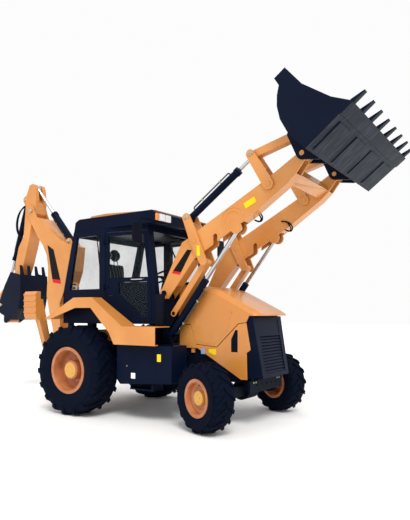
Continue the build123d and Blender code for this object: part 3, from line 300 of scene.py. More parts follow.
def lens():
    shade = Shade("lampLens")
    ribs = shade.add("ShaderNodeTexWave", {}, {"Vector": shade.place(), "Scale": 40.0})
    across = shade.part(shade.place(), 1)
    amber = across.sum("ABSOLUTE", across) > lensLook["amberFrom"]
    return shade.skin(Base_Color=shade.mix(amber, lensLook["clear"], lensLook["amber"]),
                      Roughness=lensLook["rough"] + ribs * 0.08, Coat_Weight=lensLook["coat"],
                      Normal=shade.bump(ribs, 0.3, 0.002))


orangePaint = paint("orangePaint", paintLook)
darkPaint = paint("darkPaint", darkLook)
framePaint = paint("framePaint", frameLook)
blackPlastic = plastic("blackPlastic", plasticLook["tone"], plasticLook["bright"], plasticLook["rough"])
tyreRubber = rubber("tyreRubber", **rubberLook["tyre"])
hoseRubber = rubber("hoseRubber", **rubberLook["hose"])
rodChrome = chrome()
boltZinc = zinc("zincBolts", **zincLook["bolts"])
pipeSteel = zinc("pipeSteel", **zincLook["pipes"])
seatClothAndShade = fabric()

dress(orangePaint, "hood", "side_panels", "fenders", "roof_cap", "loader_arms", "tilt_levers", "push_links",
      "bellcranks", "level_links", "boom", "dipper", "swing_post", "rear_frame", "stabiliser_right",
      "stabiliser_left", "rockers", "dig_link")
dress(darkPaint, "cab_frame", "door_right", "door_left", "roof", "grille", "side_boxes", "lift_barrels",
      "tilt_barrels", "boom_barrel", "dipper_barrel", "curl_barrel")
dress(framePaint, "chassis", "rear_axle", "front_axle", "knuckle_right", "knuckle_left")
dress(wornSteel(), "loader_bucket", "bucket_teeth", "dig_bucket", "dig_teeth")
dress(rodChrome, "lift_rods", "tilt_rods", "boom_rod", "dipper_rod", "curl_rod")
dress(tyreRubber, "rear_tyre_right", "rear_tyre_left", "front_tyre_right", "front_tyre_left")
dress(glass("cabGlass"), "cab_glass", "door_glass_right", "door_glass_left")
dress(seatClothAndShade, "seat")
dress(blackPlastic, "console", "air_cleaner", "mirrors")
dress(lens(), "roof_lamps")
dress(castIron(), "engine", "gearbox")
wheels = dict(rear_right="rear_wheel_right", rear_left="rear_wheel_left", front_right="front_wheel_right",
              front_left="front_wheel_left")
for key, body in wheels.items():
    end, side = key.split("_")
    centre = pins[f"{end}_wheel_spin_{side}"]
    dress(rimPaint(f"rimPaint-{key}", body, centre, rimLook["hubRadius"][end]), f"{end}_rim_{side}")
print("materials done")


def solid(names):  # CAD nodes to send rays at
    made = bmesh.new()
    for name in names:
        made.from_mesh(nodes[name].data)
    tree = BVHTree.FromBMesh(made)
    made.free()
    return tree


def piece(name, made, material, body, smooth=30):
    mesh = bpy.data.meshes.new(name)
    bmesh.ops.recalc_face_normals(made, faces=made.faces)
    for face in made.faces:
        face.smooth = smooth > 0
    for edge in made.edges:
        if len(edge.link_faces) == 2 and edge.calc_face_angle(0) > math.radians(smooth):
            edge.smooth = False
    made.to_mesh(mesh)
    made.free()
    mesh.materials.append(material)
    part = bpy.data.objects.new(name, mesh)
    bpy.context.collection.objects.link(part)
    if body:
        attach(part, body)
    return part


def facing(axis):  # turns local Z to lie along an axis
    return Vector(axis).to_track_quat("Z", "Y").to_matrix().to_4x4()


def turnedForm(made, centre, axis, profile, steps):  # profile of (radius, out)
    frameOf = Matrix.Translation(centre) @ facing(axis)
    rings = []
    for radius, out in profile:
        if radius < 1e-6:
            rings.append([made.verts.new(frameOf @ Vector((0, 0, out)))] * steps)
        else:
            turns = [2 * math.pi * i / steps for i in range(steps)]
            rings.append([made.verts.new(frameOf @ Vector((radius * math.cos(a), radius * math.sin(a), out)))
                          for a in turns])
    for lower, upper in zip(rings, rings[1:]):
        for i in range(steps):
            loop = list(dict.fromkeys((lower[i], lower[(i + 1) % steps], upper[(i + 1) % steps], upper[i])))
            if len(loop) > 2:
                made.faces.new(loop)


def plate(made, base, top):  # closes two rings of points into a plate
    count = len(base)
    made.faces.new(base)
    made.faces.new(top)
    for i in range(count):
        made.faces.new((base[i], base[(i + 1) % count], top[(i + 1) % count], top[i]))


def bolt(made, centre, axis, across):  # washer and chamfered hexagon head
    washer = ((0, -0.001), (across * 0.95, -0.001), (across * 0.95, across * 0.12), (across * 0.6, across * 0.2))
    head = ((across * 0.58, across * 0.1), (across * 0.58, across * 0.55), (across * 0.46, across * 0.66),
            (0, across * 0.66))
    turnedForm(made, centre, axis, washer, 20)
    turnedForm(made, centre, axis, head, 6)


def pinHead(made, centre, axis, radius):  # chamfered cap, grease nipple and keeper tab with its bolt
    cap = ((0, -0.004), (radius, -0.004), (radius, 0.007), (radius * 0.86, 0.012), (radius * 0.3, 0.012),
           (radius * 0.24, 0.008), (0.007, 0.008), (0.007, 0.016), (0.004, 0.021), (0, 0.021))
    turnedForm(made, centre, axis, cap, 28)
    turn = facing(axis)
    tab = [turn @ Vector(v) for v in ((radius * 0.5, -0.014, 0), (radius * 1.75, -0.014, 0), (radius * 1.9, 0, 0),
                                      (radius * 1.75, 0.014, 0), (radius * 0.5, 0.014, 0))]
    plate(made, [made.verts.new(Vector(centre) + v - turn @ Vector((0, 0, 0.002))) for v in tab],
          [made.verts.new(Vector(centre) + v + turn @ Vector((0, 0, 0.006))) for v in tab])
    bolt(made, Vector(centre) + turn @ Vector((radius * 1.5, 0, 0.006)), axis, 0.011)


def hit(tree, x, side, z):  # where a ray across the machine, towards its middle, meets a solid
    return tree.ray_cast(Vector((x, side * 2, z)), Vector((0, -side, 0)))[0]


def slab(made, outline, level, thick, inset):  # raised panel: side outline, from a y level along +y
    rows = []
    middle = Vector((sum(x for x, z in outline) / len(outline), sum(z for x, z in outline) / len(outline)))
    for grow, out in ((0, -0.0005), (0, thick * 0.4), (inset, thick)):
        row = []
        for x, z in outline:
            away = middle - Vector((x, z))
            near = Vector((x, z)) + away.normalized() * grow
            row.append(made.verts.new((near.x + axleX, level + out, near.y)))
        rows.append(row)
    made.faces.new(rows[0])
    made.faces.new(rows[-1])
    for lower, upper in zip(rows, rows[1:]):
        for i in range(len(outline)):
            j = (i + 1) % len(outline)
            made.faces.new((lower[i], lower[j], upper[j], upper[i]))


def pipe(name, route, radius, material, body):
    line = bpy.data.curves.new(name, "CURVE")
    line.dimensions = "3D"
    line.bevel_depth, line.bevel_resolution, line.resolution_u = radius, 4, 6
    line.use_fill_caps = True
    spline = line.splines.new("NURBS")
    spline.points.add(len(route) - 1)
    for point, place in zip(spline.points, route):
        point.co = (*place, 1)
    spline.order_u, spline.use_endpoint_u = 3, True
    line.materials.append(material)
    part = bpy.data.objects.new(name, line)
    bpy.context.collection.objects.link(part)
    if body:
        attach(part, body)
    return part


# tyres: carcass turned round the axle, with curved lugs laid over the shoulder
tyreSizes = dict(rear=dict(r=0.655, w=0.470, seat=0.305, bead=0.380, flange=0.340, lugH=0.032, lugs=18),
                 front=dict(r=0.440, w=0.330, seat=0.212, bead=0.256, flange=0.240, lugH=0.024, lugs=16))
wheelBolts = dict(rear=((10, tyreSizes["rear"]["seat"] * 0.56, 0.014), (6, 0.062, 0.009)),  # count, ring, size
                  front=((8, tyreSizes["front"]["seat"] * 0.56, 0.014), (6, 0.050, 0.009)))
for key, body in wheels.items():
    end, side = key.split("_")
    size, axis, centre = tyreSizes[end], spins[body], pins[f"{end}_wheel_spin_{side}"]
    r, w, tread = size["r"], size["w"], size["r"] - size["lugH"]
    bulge = (size["flange"] + tread) / 2
    seat, bead, flange = size["seat"], size["bead"] / 2, size["flange"]
    half = [(seat, bead - 0.012), (seat + 0.012, bead - 0.001), (flange + 0.001, bead - 0.001),
            (flange + 0.010, bead + 0.013), (flange + 0.024, bead + 0.019), (flange + 0.031, bead + 0.026),
            (bulge - 0.02, w / 2 - 0.004), (bulge + 0.02, w / 2), (bulge + 0.045, w / 2 - 0.001),
            (bulge + 0.049, w / 2 - 0.006), (tread - 0.050, w / 2 - 0.014), (tread - 0.022, w / 2 - 0.026),
            (tread - 0.005, w / 2 - 0.048), (tread, w / 2 - 0.085), (tread + 0.003, 0)]
    made = bmesh.new()
    turnedForm(made, centre, axis, half + [(radius, -out) for radius, out in half[-2::-1]], 96)
    up = Vector((0, 0, 1))
    ahead = axis.cross(up)
    pitch = 2 * math.pi * r / size["lugs"]
    reach = 0.52 * pitch
    for way, stagger in ((-1, 0.5), (1, 0)):
        for i in range(size["lugs"]):
            turn = math.pi - math.asin(reach / r) + 2 * math.pi * (i + stagger) / size["lugs"]
            rows = []
            # lug stations: share of the way out, out, top radius, share of its width
            stations = [(t, -0.008 + (w / 2 - 0.026) * t, r - 0.003 - 0.004 * t * t, 1.0)
                        for t in (0, 0.12, 0.28, 0.46, 0.64, 0.82, 1.0)]
            stations += [(1.05, w / 2 - 0.022, r - 0.020, 1.0), (1.08, w / 2 - 0.010, r - 0.050, 0.95),
                         (1.10, w / 2 - 0.004, r - 0.085, 0.8)]
            for share, out, top, width in stations:
                curve = min(share, 1.0)
                middle = (-reach + 0.15 * pitch) + (2 * reach - 0.31 * pitch) * (0.72 * curve + 0.28 * curve ** 2)
                wide = (0.135 + 0.04 * curve) * pitch * width
                sink = max(tread - 0.008, 0) if top > tread + 0.002 else top - 0.020
                row = []
                for shift, radius in ((-wide, sink), (-wide * 0.84, top - 0.003), (-wide * 0.70, top),
                                      (wide * 0.70, top), (wide * 0.84, top - 0.003), (wide, sink)):
                    a = turn + (middle + shift) / r
                    outwards = up * math.cos(a) + ahead * math.sin(a)
                    row.append(made.verts.new(centre + outwards * radius + axis * way * out))
                rows.append(row)
            for lower, upper in zip(rows, rows[1:]):
                for j in range(5):
                    made.faces.new((lower[j], lower[j + 1], upper[j + 1], upper[j]))
            made.faces.new(rows[0])
            made.faces.new(rows[-1])
    tyre = piece(f"tyreDressed-{key}", made, tyreRubber, body, 32)
    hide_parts(f"{end}_tyre_{side}")

    # wheel nuts on the disc, cap screws on the hub and the valve
    rimTree = solid([f"{end}_rim_{side}"])
    outward = axis * (1 if side == "left" else -1)
    made = bmesh.new()
    for count, ringR, across in wheelBolts[end]:
        for i in range(count):
            a = 2 * math.pi * (i + 0.25) / count
            spot = centre + (up * math.cos(a) + ahead * math.sin(a)) * ringR
            place = rimTree.ray_cast(spot + outward * 0.5, -outward)[0]
            if place:
                bolt(made, place, outward, across)
    valve = rimTree.ray_cast(centre + up * seat * 0.75 + outward * 0.5, -outward)[0]
    if valve:
        stem = ((0.006, -0.002), (0.006, 0.03), (0.004, 0.034), (0.004, 0.044), (0, 0.045))
        turnedForm(made, valve, outward, stem, 10)
    piece(f"wheelNuts-{key}", made, boltZinc, body)
print("wheels done")

# pin heads: node that carries the head, the body it moves with, radius
pinHeads = dict(
    loader_lift=("loader_arms", "machine", 0.036),
    level_link_pivot=("level_links", "machine", 0.027),
    bellcrank_pivot=("bellcranks", "bellcranks", 0.034),
    tilt_barrel_pivot=("bellcranks", "bellcranks", 0.028),
    bucket_tilt=("loader_bucket", "loader_bucket", 0.034),
    tilt_lever_pivot=("tilt_levers", "tilt_levers", 0.034),
    push_link_pivot=("tilt_levers", "tilt_levers", 0.028),
    boom_pivot=("swing_post", "swing_post", 0.042),
    dipper_pivot=("boom", "boom", 0.038),
    dipper_barrel_pivot=("boom", "boom", 0.028),
    dig_bucket_pivot=("dig_bucket", "dig_bucket", 0.034),
    rocker_pivot=("rockers", "rockers", 0.026),
    curl_barrel_pivot=("dipper", "dipper", 0.026),
    boom_barrel_pivot=("swing_post", "swing_post", 0.028),
    lift_barrel_pivot=("lift_barrels", "lift_barrels", 0.030))
for joint, (node, body, radius) in pinHeads.items():
    made = bmesh.new()
    tree = solid([node])
    x, z = pins[joint].x, pins[joint].z
    for side in (-1, 1):
        spot = hit(tree, x, side, z)
        if spot:
            pinHead(made, spot, (0, side, 0), radius)
        if joint == "tilt_barrel_pivot":  # the hood passes close inside this one
            continue
        spot = tree.ray_cast(Vector((x, side * 0.02, z)), Vector((0, side, 0)))[0]
        if spot and abs(spot.y) > 0.3:
            pinHead(made, spot, (0, -side, 0), radius)
    if made.verts:
        piece(f"pinHeads-{joint}", made, boltZinc, body)
    else:
        made.free()

# bolts on the front plate, the side boxes and the panels; places forward of the rear axle
frameBolts = dict(plate=dict(size=0.013, z=0.585, y=(-0.375, -0.315, 0.315, 0.375)),
                  box=dict(size=0.009, places=((0.66, 0.85), (0.66, 0.50), (1.50, 0.85), (1.50, 0.50),
                                               (0.966, 0.759))),
                  panel=dict(size=0.008, places=((2.510, 1.278), (2.485, 1.166), (2.561, 1.079), (2.505, 0.70),
                                                 (1.62, 1.20), (1.62, 1.06))))
made = bmesh.new()
tree = solid(["chassis"])
for y in frameBolts["plate"]["y"]:
    place = tree.ray_cast(Vector((4, y, frameBolts["plate"]["z"])), Vector((-1, 0, 0)))[0]
    if place:
        bolt(made, place, Vector((1, 0, 0)), frameBolts["plate"]["size"])
for node, group in (("side_boxes", "box"), ("side_panels", "panel")):
    tree = solid([node])
    for side in (-1, 1):
        for x, z in frameBolts[group]["places"]:
            place = hit(tree, x + axleX, side, z)
            if place:
                bolt(made, place, Vector((0, side, 0)), frameBolts[group]["size"])
piece("frameBolts", made, boltZinc, "machine")

# blank labels and stripes: ink, node, body, outline forward of the rear axle
labelLook = dict(thick=0.003, sunk=0.0005, edge=0.001, rough=0.3)
inks = dict(black=((0.004, 0.004, 0.005), (0.008, 0.008, 0.009)), red=((0.62, 0.012, 0.018), (0.70, 0.02, 0.025)),
            yellow=((0.90, 0.60, 0.01), (0.95, 0.68, 0.02)), white=((0.80, 0.80, 0.80), (0.88, 0.88, 0.88)),
            blue=((0.22, 0.36, 0.66), (0.28, 0.42, 0.70)))
labels = dict(
    legStripe=("black", "loader_arms", "loader_arms",
               [(1.772, 2.335), (1.846, 2.322), (1.668, 2.036), (1.536, 2.060)]),
    legFlash=("red", "loader_arms", "loader_arms",
              [(1.536, 2.060), (1.668, 2.036), (1.648, 2.003), (1.512, 2.030)]),
    armSign=("yellow", "loader_arms", "loader_arms",
             [(2.632, 2.852), (2.785, 2.921), (2.811, 2.855), (2.665, 2.785)]),
    crankSign=("yellow", "bellcranks", "bellcranks",
               [(1.945, 2.372), (1.990, 2.372), (1.998, 2.238), (1.953, 2.238)]),
    boomStripe=("black", "boom", "boom", [(-1.605, 2.690), (-1.448, 2.600), (-1.272, 2.060), (-1.480, 2.085)]),
    boomFlash=("red", "boom", "boom", [(-1.480, 2.085), (-1.272, 2.060), (-1.258, 1.992), (-1.455, 2.020)]),
    boxSign=("yellow", "side_boxes", "machine",
             [(1.497, 0.940), (1.560, 0.940), (1.560, 0.842), (1.497, 0.842)]),
    boxPlate=("white", "side_boxes", "machine",
              [(1.043, 0.668), (1.118, 0.668), (1.118, 0.592), (1.043, 0.592)]),
    panelPlate=("blue", "side_panels", "machine",
                [(1.860, 1.000), (1.925, 1.000), (1.925, 0.930), (1.860, 0.930)]),
    panelSign=("yellow", "side_panels", "machine",
               [(1.985, 1.000), (2.105, 1.000), (2.105, 0.925), (2.060, 0.925), (1.985, 0.960)]))
labelInk = {ink: plastic(f"{ink}Label", tone, bright, labelLook["rough"]) for ink, (tone, bright) in inks.items()}
for name, (ink, node, body, outline) in labels.items():
    made = bmesh.new()
    tree = solid([node])
    x, z = (sum(values) / len(outline) for values in zip(*outline))
    for side in (-1, 1):
        spot = hit(tree, x + axleX, side, z)
        if spot:
            level = spot.y - (0 if side > 0 else labelLook["thick"] - labelLook["sunk"])
            slab(made, outline, level, labelLook["thick"], labelLook["edge"])
    if made.verts:
        piece(name, made, labelInk[ink], body, 0)
    else:
        print("no face for", name)
        made.free()

# pressed edge round the field in each hood side
hoodEdge = dict(outline=[(1.805, 1.100), (2.085, 1.078), (2.262, 1.240), (2.345, 1.500), (1.745, 1.520)],
                halfWide=0.009, thick=0.0015)
made = bmesh.new()
tree = solid(["hood"])
corners = [Vector(corner) for corner in hoodEdge["outline"]]
for side in (-1, 1):
    level = hit(tree, 2.0 + axleX, side, 1.35).y - (0 if side > 0 else hoodEdge["thick"])
    for a, b in zip(corners, corners[1:] + corners[:1]):
        across = (b - a).normalized().orthogonal() * hoodEdge["halfWide"]
        slab(made, [a - across, b - across, b + across, a + across], level, hoodEdge["thick"], 0.0005)
piece("hoodPressing", made, orangePaint, "hood", 0)

# weld beads of the round doublers, outside each arm by the lift cylinder's eye: radius, first and last degree
armBead = dict(x=2.480, z=2.655, arcs=((0.165, 20, 215), (0.115, 35, 190)), steps=14, radius=0.0045)
tree = solid(["loader_arms"])
for side in (-1, 1):
    for radius, first, last in armBead["arcs"]:
        route = []
        for step in range(armBead["steps"] + 1):
            a = math.radians(first + (last - first) * step / armBead["steps"])
            x, z = armBead["x"] + axleX + radius * math.cos(a), armBead["z"] + radius * math.sin(a)
            spot = hit(tree, x, side, z)
            if spot and abs(spot.y) > 0.60:
                route.append(spot)
        if len(route) > 3:
            name = f"armBead-{sideNames[side]}-{round(radius * 1000)}"
            pipe(name, route, armBead["radius"], orangePaint, "loader_arms")

# grips on the doors
doorGrip = dict(ends=(0.25, 0.43), z=1.96, standOff=0.045, radius=0.010)
for side in (-1, 1):
    door = f"door_{sideNames[side]}"
    tree = solid([door])
    a, b = (hit(tree, x, side, doorGrip["z"]) for x in doorGrip["ends"])
    if a and b:
        off = Vector((0, side * doorGrip["standOff"], 0))
        route = [a, a + off * 0.8, a + off + (b - a) * 0.15, a + off + (b - a) * 0.85, b + off * 0.8, b]
        pipe(f"doorGrip-{sideNames[side]}", route, doorGrip["radius"], rodChrome, door)

# painted shade: a black sheet behind the lower door glass, standing in for the shaded inside of the cab
doorShadeSheet = dict(outline=[(0.020, 1.926), (0.020, 1.764), (0.404, 1.434), (0.490, 1.434), (0.490, 1.70),
                         (0.477, 1.926)], near=0.016, far=0.022)
for side in (-1, 1):
    name = sideNames[side]
    tree = solid([f"door_glass_{name}"])
    spots = [hit(tree, x, side, z) for x, z in doorShadeSheet["outline"]]
    if all(spots):
        made = bmesh.new()
        plate(made, *([made.verts.new(spot + Vector((0, -side * deep, 0))) for spot in spots]
                      for deep in (doorShadeSheet["near"], doorShadeSheet["far"])))
        piece(f"doorShadeSheet-{name}", made, blackPlastic, f"door_{name}", 0)

# wipers: foot height and y, side they sit on
wipers = dict(front=dict(x=4, way=-1, z=1.85, y=0.10), rear=dict(x=-2.0, way=1, z=2.00, y=0.0))
wiperReach = dict(y=-0.22, z=0.50, standOff=0.035, arm=0.007, blade=0.009)
tree = solid(["cab_glass"])
for name, wiper in wipers.items():
    way = Vector((wiper["way"], 0, 0))
    start = Vector((wiper["x"], wiper["y"], wiper["z"]))
    foot = tree.ray_cast(start, way)[0]
    tip = tree.ray_cast(start + Vector((0, wiperReach["y"], wiperReach["z"])), way)[0]
    if foot and tip:
        away = -way * wiperReach["standOff"]
        arm = [foot + away * 0.6, foot + away * 1.1, (foot + tip) / 2 + away, tip + away * 0.7]
        pipe(f"wiperArm-{name}", arm, wiperReach["arm"], blackPlastic, "machine")
        along = (tip - foot).normalized()
        blade = [tip - along * 0.24 + away * 0.4, tip + away * 0.5, tip + along * 0.20 + away * 0.4]
        pipe(f"wiperBlade-{name}", blade, wiperReach["blade"], blackPlastic, "machine")

# pipes along the cylinders: joint they start from, rod that gives the way, distances along and off the barrel
barrelPipes = dict(
    tilt_barrels=dict(joint="tilt_barrel_pivot", rod="tilt_rods", start=0.12, end=0.80, off=0.084, over=1,
                      y=(-0.55, 0.55)),
    lift_barrels=dict(joint="lift_barrel_pivot", rod="lift_rods", start=0.12, end=0.88, off=0.070, over=-1,
                      y=(-0.55, 0.55)),
    dipper_barrel=dict(joint="dipper_barrel_pivot", rod="dipper_rod", start=0.12, end=0.66, off=0.078, over=1,
                       y=(0.0,)),
    curl_barrel=dict(joint="curl_barrel_pivot", rod="curl_rod", start=0.14, end=1.00, off=0.070, over=-1,
                     y=(0.0,)))
pipeClamp = dict(shares=(0.25, 0.75), collar=0.015, collarWide=0.024, post=0.010, pipe=0.010)
for body, given in barrelPipes.items():
    way, start, end = spins[given["rod"]], given["start"], given["end"]
    off = Vector((-way.z, 0, way.x)) * given["over"] * given["off"]
    for y in given["y"]:
        key = f"{body}-{sideNames[(y > 0) - (y < 0)]}"
        base = Vector((pins[given["joint"]].x, y, pins[given["joint"]].z))
        route = [base + way * along + off * share for along, share in
                 ((start, 0.5), (start, 1), (start + 0.05, 1), (end - 0.05, 1), (end, 1), (end, 0.5))]
        pipe(f"pipe-{key}", route, pipeClamp["pipe"], pipeSteel, body)
        made = bmesh.new()
        wide = pipeClamp["collarWide"]
        collar = ((0.0085, 0), (pipeClamp["collar"], 0), (pipeClamp["collar"], wide), (0.0085, wide))
        post = ((pipeClamp["post"], 0), (pipeClamp["post"], given["off"] * 0.42))
        for share in pipeClamp["shares"]:
            spot = base + way * (start + (end - start) * share) + off
            turnedForm(made, spot - way * wide / 2, way, collar, 16)
            turnedForm(made, spot - off * 0.5, off, post, 12)
        piece(f"pipeClamps-{key}", made, boltZinc, body)
print("trim done")

# seat: swollen pads on a pedestal, in place of the plain solid
# places are from the solid's low corner, the headrest's height from its top
seatPads = dict(
    seatCushion=dict(x=0.345, z=0.40, size=(0.50, 0.47, 0.13), lean=-5, seams=(-0.28, 0.28), ball=0.0),
    seatBack=dict(x=0.115, z=0.675, size=(0.52, 0.43, 0.12), lean=-97, seams=(-0.25, 0.25), ball=0.45),
    headrest=dict(x=0.075, fromTop=0.095, size=(0.20, 0.21, 0.17), lean=-95, seams=(0.9, 0.9), ball=0.95))
padMaking = dict(cuts=7, voxel=0.014, press=3.0, frames=12, seamDeep=0.010, seamWide=0.010)
pedestalSteps = ((0, 0.09, 0.14, 0.52, 0.17), (0.09, 0.26, 0.18, 0.48, 0.14),  # two z, two x, half of y
                 (0.26, 0.345, 0.10, 0.56, 0.20))
seatExtras = dict(postY=0.04, postR=0.008, armrest=(0.12, 0.215, 0.60))
low, high = (Vector(c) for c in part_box("seat"))
seatMiddle = (low.y + high.y) / 2


def settle(part):  # applies what the modifiers make
    shown = bpy.data.meshes.new_from_object(part.evaluated_get(bpy.context.evaluated_depsgraph_get()))
    part.modifiers.clear()
    part.data = shown


def crowned(p, size):  # a cube's point, with the faces crowned and the sides pulled in between the corners
    u, v, n = p.x * 2, p.y * 2, p.z * 2
    squeeze = 1 - 0.05 * (1 - abs(u * v))
    return Vector((p.x * size[0] * (1 - 0.10 * n * n) * squeeze, p.y * size[1] * (1 - 0.08 * n * n) * squeeze,
                   p.z * size[2] * (1 - 0.16 * (u * u + v * v) / 2)))


def pad(name, centre, size, lean, seams, ball):
    made = bmesh.new()
    bmesh.ops.create_cube(made, size=1)
    bmesh.ops.subdivide_edges(made, edges=made.edges[:], cuts=padMaking["cuts"], use_grid_fill=True)
    for vert in made.verts:
        vert.co = crowned(vert.co, size)
    mesh = bpy.data.meshes.new(name)
    made.to_mesh(mesh)
    made.free()
    part = bpy.data.objects.new(name, mesh)
    bpy.context.collection.objects.link(part)
    bpy.context.view_layer.objects.active = part
    mesh.materials.append(seatClothAndShade)
    remesh = part.modifiers.new("remesh", "REMESH")
    remesh.mode, remesh.voxel_size = "VOXEL", padMaking["voxel"]
    settle(part)
    cloth = part.modifiers.new("cloth", "CLOTH")
    cloth.settings.use_pressure, cloth.settings.uniform_pressure_force = True, padMaking["press"]
    cloth.settings.effector_weights.gravity = 0
    for step in range(padMaking["frames"]):
        bpy.context.scene.frame_set(step + 1)
    settle(part)
    bpy.context.scene.frame_set(1)
    swell = [max(abs(v.co[axis]) for v in part.data.vertices) for axis in range(3)]
    for vert in part.data.vertices:  # keeps the swollen pad to its size, with sewn channels
        share = Vector(vert.co[axis] / swell[axis] for axis in range(3))
        share *= (max(abs(n) for n in share) / share.length) ** ball
        vert.co = Vector(share[axis] * size[axis] / 2 for axis in range(3))
        channel = min(abs(vert.co.y - line * size[1]) for line in seams)
        if vert.co.z > size[2] * 0.2:
            vert.co.z -= padMaking["seamDeep"] * math.exp(-(channel / padMaking["seamWide"]) ** 2)
    part.data.transform(Matrix.Translation(centre) @ Matrix.Rotation(math.radians(lean), 4, "Y"))
    smoother = part.modifiers.new("smooth", "SUBSURF")
    smoother.levels = smoother.render_levels = 1
    for face in part.data.polygons:
        face.use_smooth = True
    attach(part, "machine")


for name, given in seatPads.items():
    z = high.z - given["fromTop"] if "fromTop" in given else low.z + given["z"]
    pad(name, (low.x + given["x"], seatMiddle, z), given["size"], given["lean"], given["seams"], given["ball"])
for side in (-1, 1):
    y = seatMiddle + side * seatExtras["postY"]
    route = [(low.x + 0.105, y, low.z + 0.88), (low.x + 0.085, y, high.z - 0.14)]
    pipe(f"headrestPost-{sideNames[side]}", route, seatExtras["postR"], rodChrome, "machine")
made = bmesh.new()
for z0, z1, x0, x1, halfY in pedestalSteps:
    corners = [(x0, -halfY), (x1, -halfY), (x1, halfY), (x0, halfY)]
    plate(made, *([made.verts.new((low.x + x, seatMiddle + y, low.z + z)) for x, y in corners] for z in (z0, z1)))
bmesh.ops.bevel(made, geom=made.edges[:], offset=0.012, segments=2, affect="EDGES", profile=0.5)
pedestal = piece("seatPedestal", made, blackPlastic, "machine")
for side in (-1, 1):
    made = bmesh.new()
    x, y, z = seatExtras["armrest"]
    start = (low.x + x, seatMiddle + side * y, low.z + z)
    profile = ((0, 0), (0.02, 0.004), (0.024, 0.03), (0.022, 0.27), (0.012, 0.30), (0, 0.302))
    turnedForm(made, start, (1, 0, 0.06), profile, 20)
    piece(f"armrest-{sideNames[side]}", made, blackPlastic, "machine")
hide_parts("seat")
print("seat done")

# hoses at the tower, inside the arms and over the digger's elbow
# routes are from the pin there, the arms' from the rear axle; the third number takes the spread or the bow
towerHose = dict(y=0.50, gap=0.035, spread=0.012, radius=0.011,
                 route=((-0.06, -0.13, 0), (-0.02, -0.14, 0), (0, -0.22, 1), (-0.01, -0.40, 1), (-0.04, -0.54, 0),
                        (-0.07, -0.60, 0)))
armHose = dict(gap=0.004, drop=0.022, radius=0.009)
elbowHose = dict(places=((-0.105, 0.0), (-0.075, 0.07), (0.075, 0.07), (0.105, 0.0)), radius=0.0125,  # y, bow
                 route=((-0.02, 0.06, 0), (-0.16, 0.15, 0), (-0.34, 0.06, 1), (-0.44, -0.16, 1), (-0.40, -0.38, 1),
                        (-0.27, -0.50, 0), (-0.235, -0.56, 0)))
towerPin, elbow = pins["loader_lift"], pins["dipper_pivot"]
for side in (-1, 1):
    for i in (0, 1):
        y = side * (towerHose["y"] - towerHose["gap"] * i)
        apart = towerHose["spread"] * i
        route = [(towerPin.x + x + apart * bow, y, towerPin.z + z) for x, z, bow in towerHose["route"]]
        pipe(f"towerHose-{sideNames[side]}-{i + 1}", route, towerHose["radius"], hoseRubber, "machine")
for side in (-1, 1):
    for i in (0, 1):
        drop = armHose["drop"] * i
        route = [(2.640, 0.462, 2.790), (2.720, 0.458, 2.785), (2.800 - drop, 0.458, 2.725 - drop),
                 (2.815 - drop, 0.460, 2.665), (2.780 - drop, 0.464, 2.625), (2.700, 0.462, 2.665)]
        route = [(x + axleX, side * (y - armHose["gap"] * i), z) for x, y, z in route]
        pipe(f"armHose-{sideNames[side]}-{i + 1}", route, armHose["radius"], hoseRubber, "loader_arms")
for i, (y, bow) in enumerate(elbowHose["places"]):
    route = [(elbow.x + x - bow * bowed, y, elbow.z + z) for x, z, bowed in elbowHose["route"]]
    curve = pipe(f"elbowRoute-{i + 1}", route, elbowHose["radius"], hoseRubber, None)
    made = bmesh.new()
    made.from_mesh(bpy.data.meshes.new_from_object(curve.evaluated_get(bpy.context.evaluated_depsgraph_get())))
    bpy.data.objects.remove(curve)
    loop = piece(f"elbowHose-{i + 1}", made, hoseRubber, None)
    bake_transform(loop)
    down = ((-0.235, -0.55), (-0.27, -0.60), (-0.385, -0.66 - 0.02 * i), (-0.47, -0.93), (-0.50, -1.05))
    route = [(elbow.x + x, y, elbow.z + z) for x, z in down]
    pipe(f"dipperPipe-{i + 1}", route, elbowHose["radius"], hoseRubber, "dipper")
print("hoses done")

# soft rounded edges on the carried-over solids
softEdge = dict(width=0.004, segments=2, sharperThan=35, weld=0.0002)
for name, part in nodes.items():
    if "glass" in name or "tyre" in name or name == "seat":
        continue
    weld = part.modifiers.new("weld", "WELD")
    weld.merge_threshold = softEdge["weld"]
    edges = part.modifiers.new("edges", "BEVEL")
    edges.width, edges.segments, edges.limit_method = softEdge["width"], softEdge["segments"], "ANGLE"
    edges.angle_limit, edges.harden_normals = math.radians(softEdge["sharperThan"]), True
print("edges done")

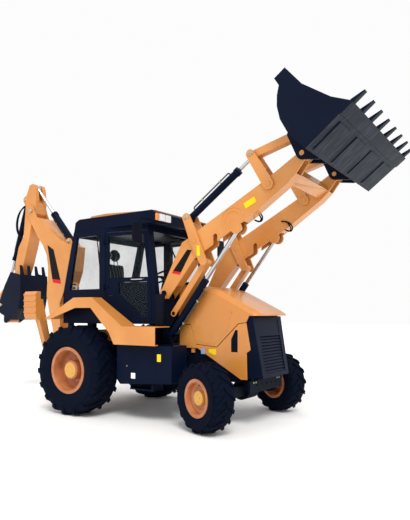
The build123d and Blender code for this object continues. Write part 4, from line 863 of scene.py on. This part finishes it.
# stage and light
stageLook = dict(floor=(0.93, 0.93, 0.93), patch=(0.92, 0.92, 0.92), reach=60, sky=(1.0, 1.0, 1.0),
                 skyPower=0.98, sunPower=1.9, sunSoft=22, sunColour=(1.0, 0.98, 0.95), sunWay=(-0.55, 0.62, -1.0))
reach = stageLook["reach"]
floorMesh = bpy.data.meshes.new("floor")
floorCorners = [(x, y, -0.001) for x, y in ((-reach, -reach), (reach, -reach), (reach, reach), (-reach, reach))]
floorMesh.from_pydata(floorCorners, [], [(0, 1, 2, 3)])
floor = bpy.data.objects.new("floor", floorMesh)
bpy.context.collection.objects.link(floor)
shade = Shade("floorSurface")
floorColour = shade.mix(shade.noise(0.4), stageLook["floor"], stageLook["patch"])
floorMesh.materials.append(shade.skin(Base_Color=floorColour, Roughness=0.9, Specular_IOR_Level=0.1))
world = bpy.data.worlds.new("studio")
bpy.context.scene.world = world
world.use_nodes = True
world.node_tree.nodes["Background"].inputs[0].default_value = (*stageLook["sky"], 1)
world.node_tree.nodes["Background"].inputs[1].default_value = stageLook["skyPower"]
bpy.context.scene.view_settings.view_transform = "Standard"
sunData = bpy.data.lights.new("sun", "SUN")
sunData.energy, sunData.color = stageLook["sunPower"], stageLook["sunColour"]
sunData.angle = math.radians(stageLook["sunSoft"])
sun = bpy.data.objects.new("sun", sunData)
sun.rotation_euler = Vector(stageLook["sunWay"]).to_track_quat("-Z", "Y").to_euler()
bpy.context.collection.objects.link(sun)

# camera; its place is forward of the rear axle
cameraView = dict(place=(5.796, -6.306, 1.485), turn=33.381, lens=35.94, shift=0.102)
camData = bpy.data.cameras.new("camera")
camData.lens, camData.sensor_width, camData.shift_y = cameraView["lens"], 36, cameraView["shift"]
camData.clip_end = 200
cam = bpy.data.objects.new("camera", camData)
cam.location = Vector(cameraView["place"]) + Vector((axleX, 0, 0))
cam.rotation_euler = (math.radians(90), 0, math.radians(cameraView["turn"]))
bpy.context.collection.objects.link(cam)
bpy.context.scene.camera = cam
print("stage done")
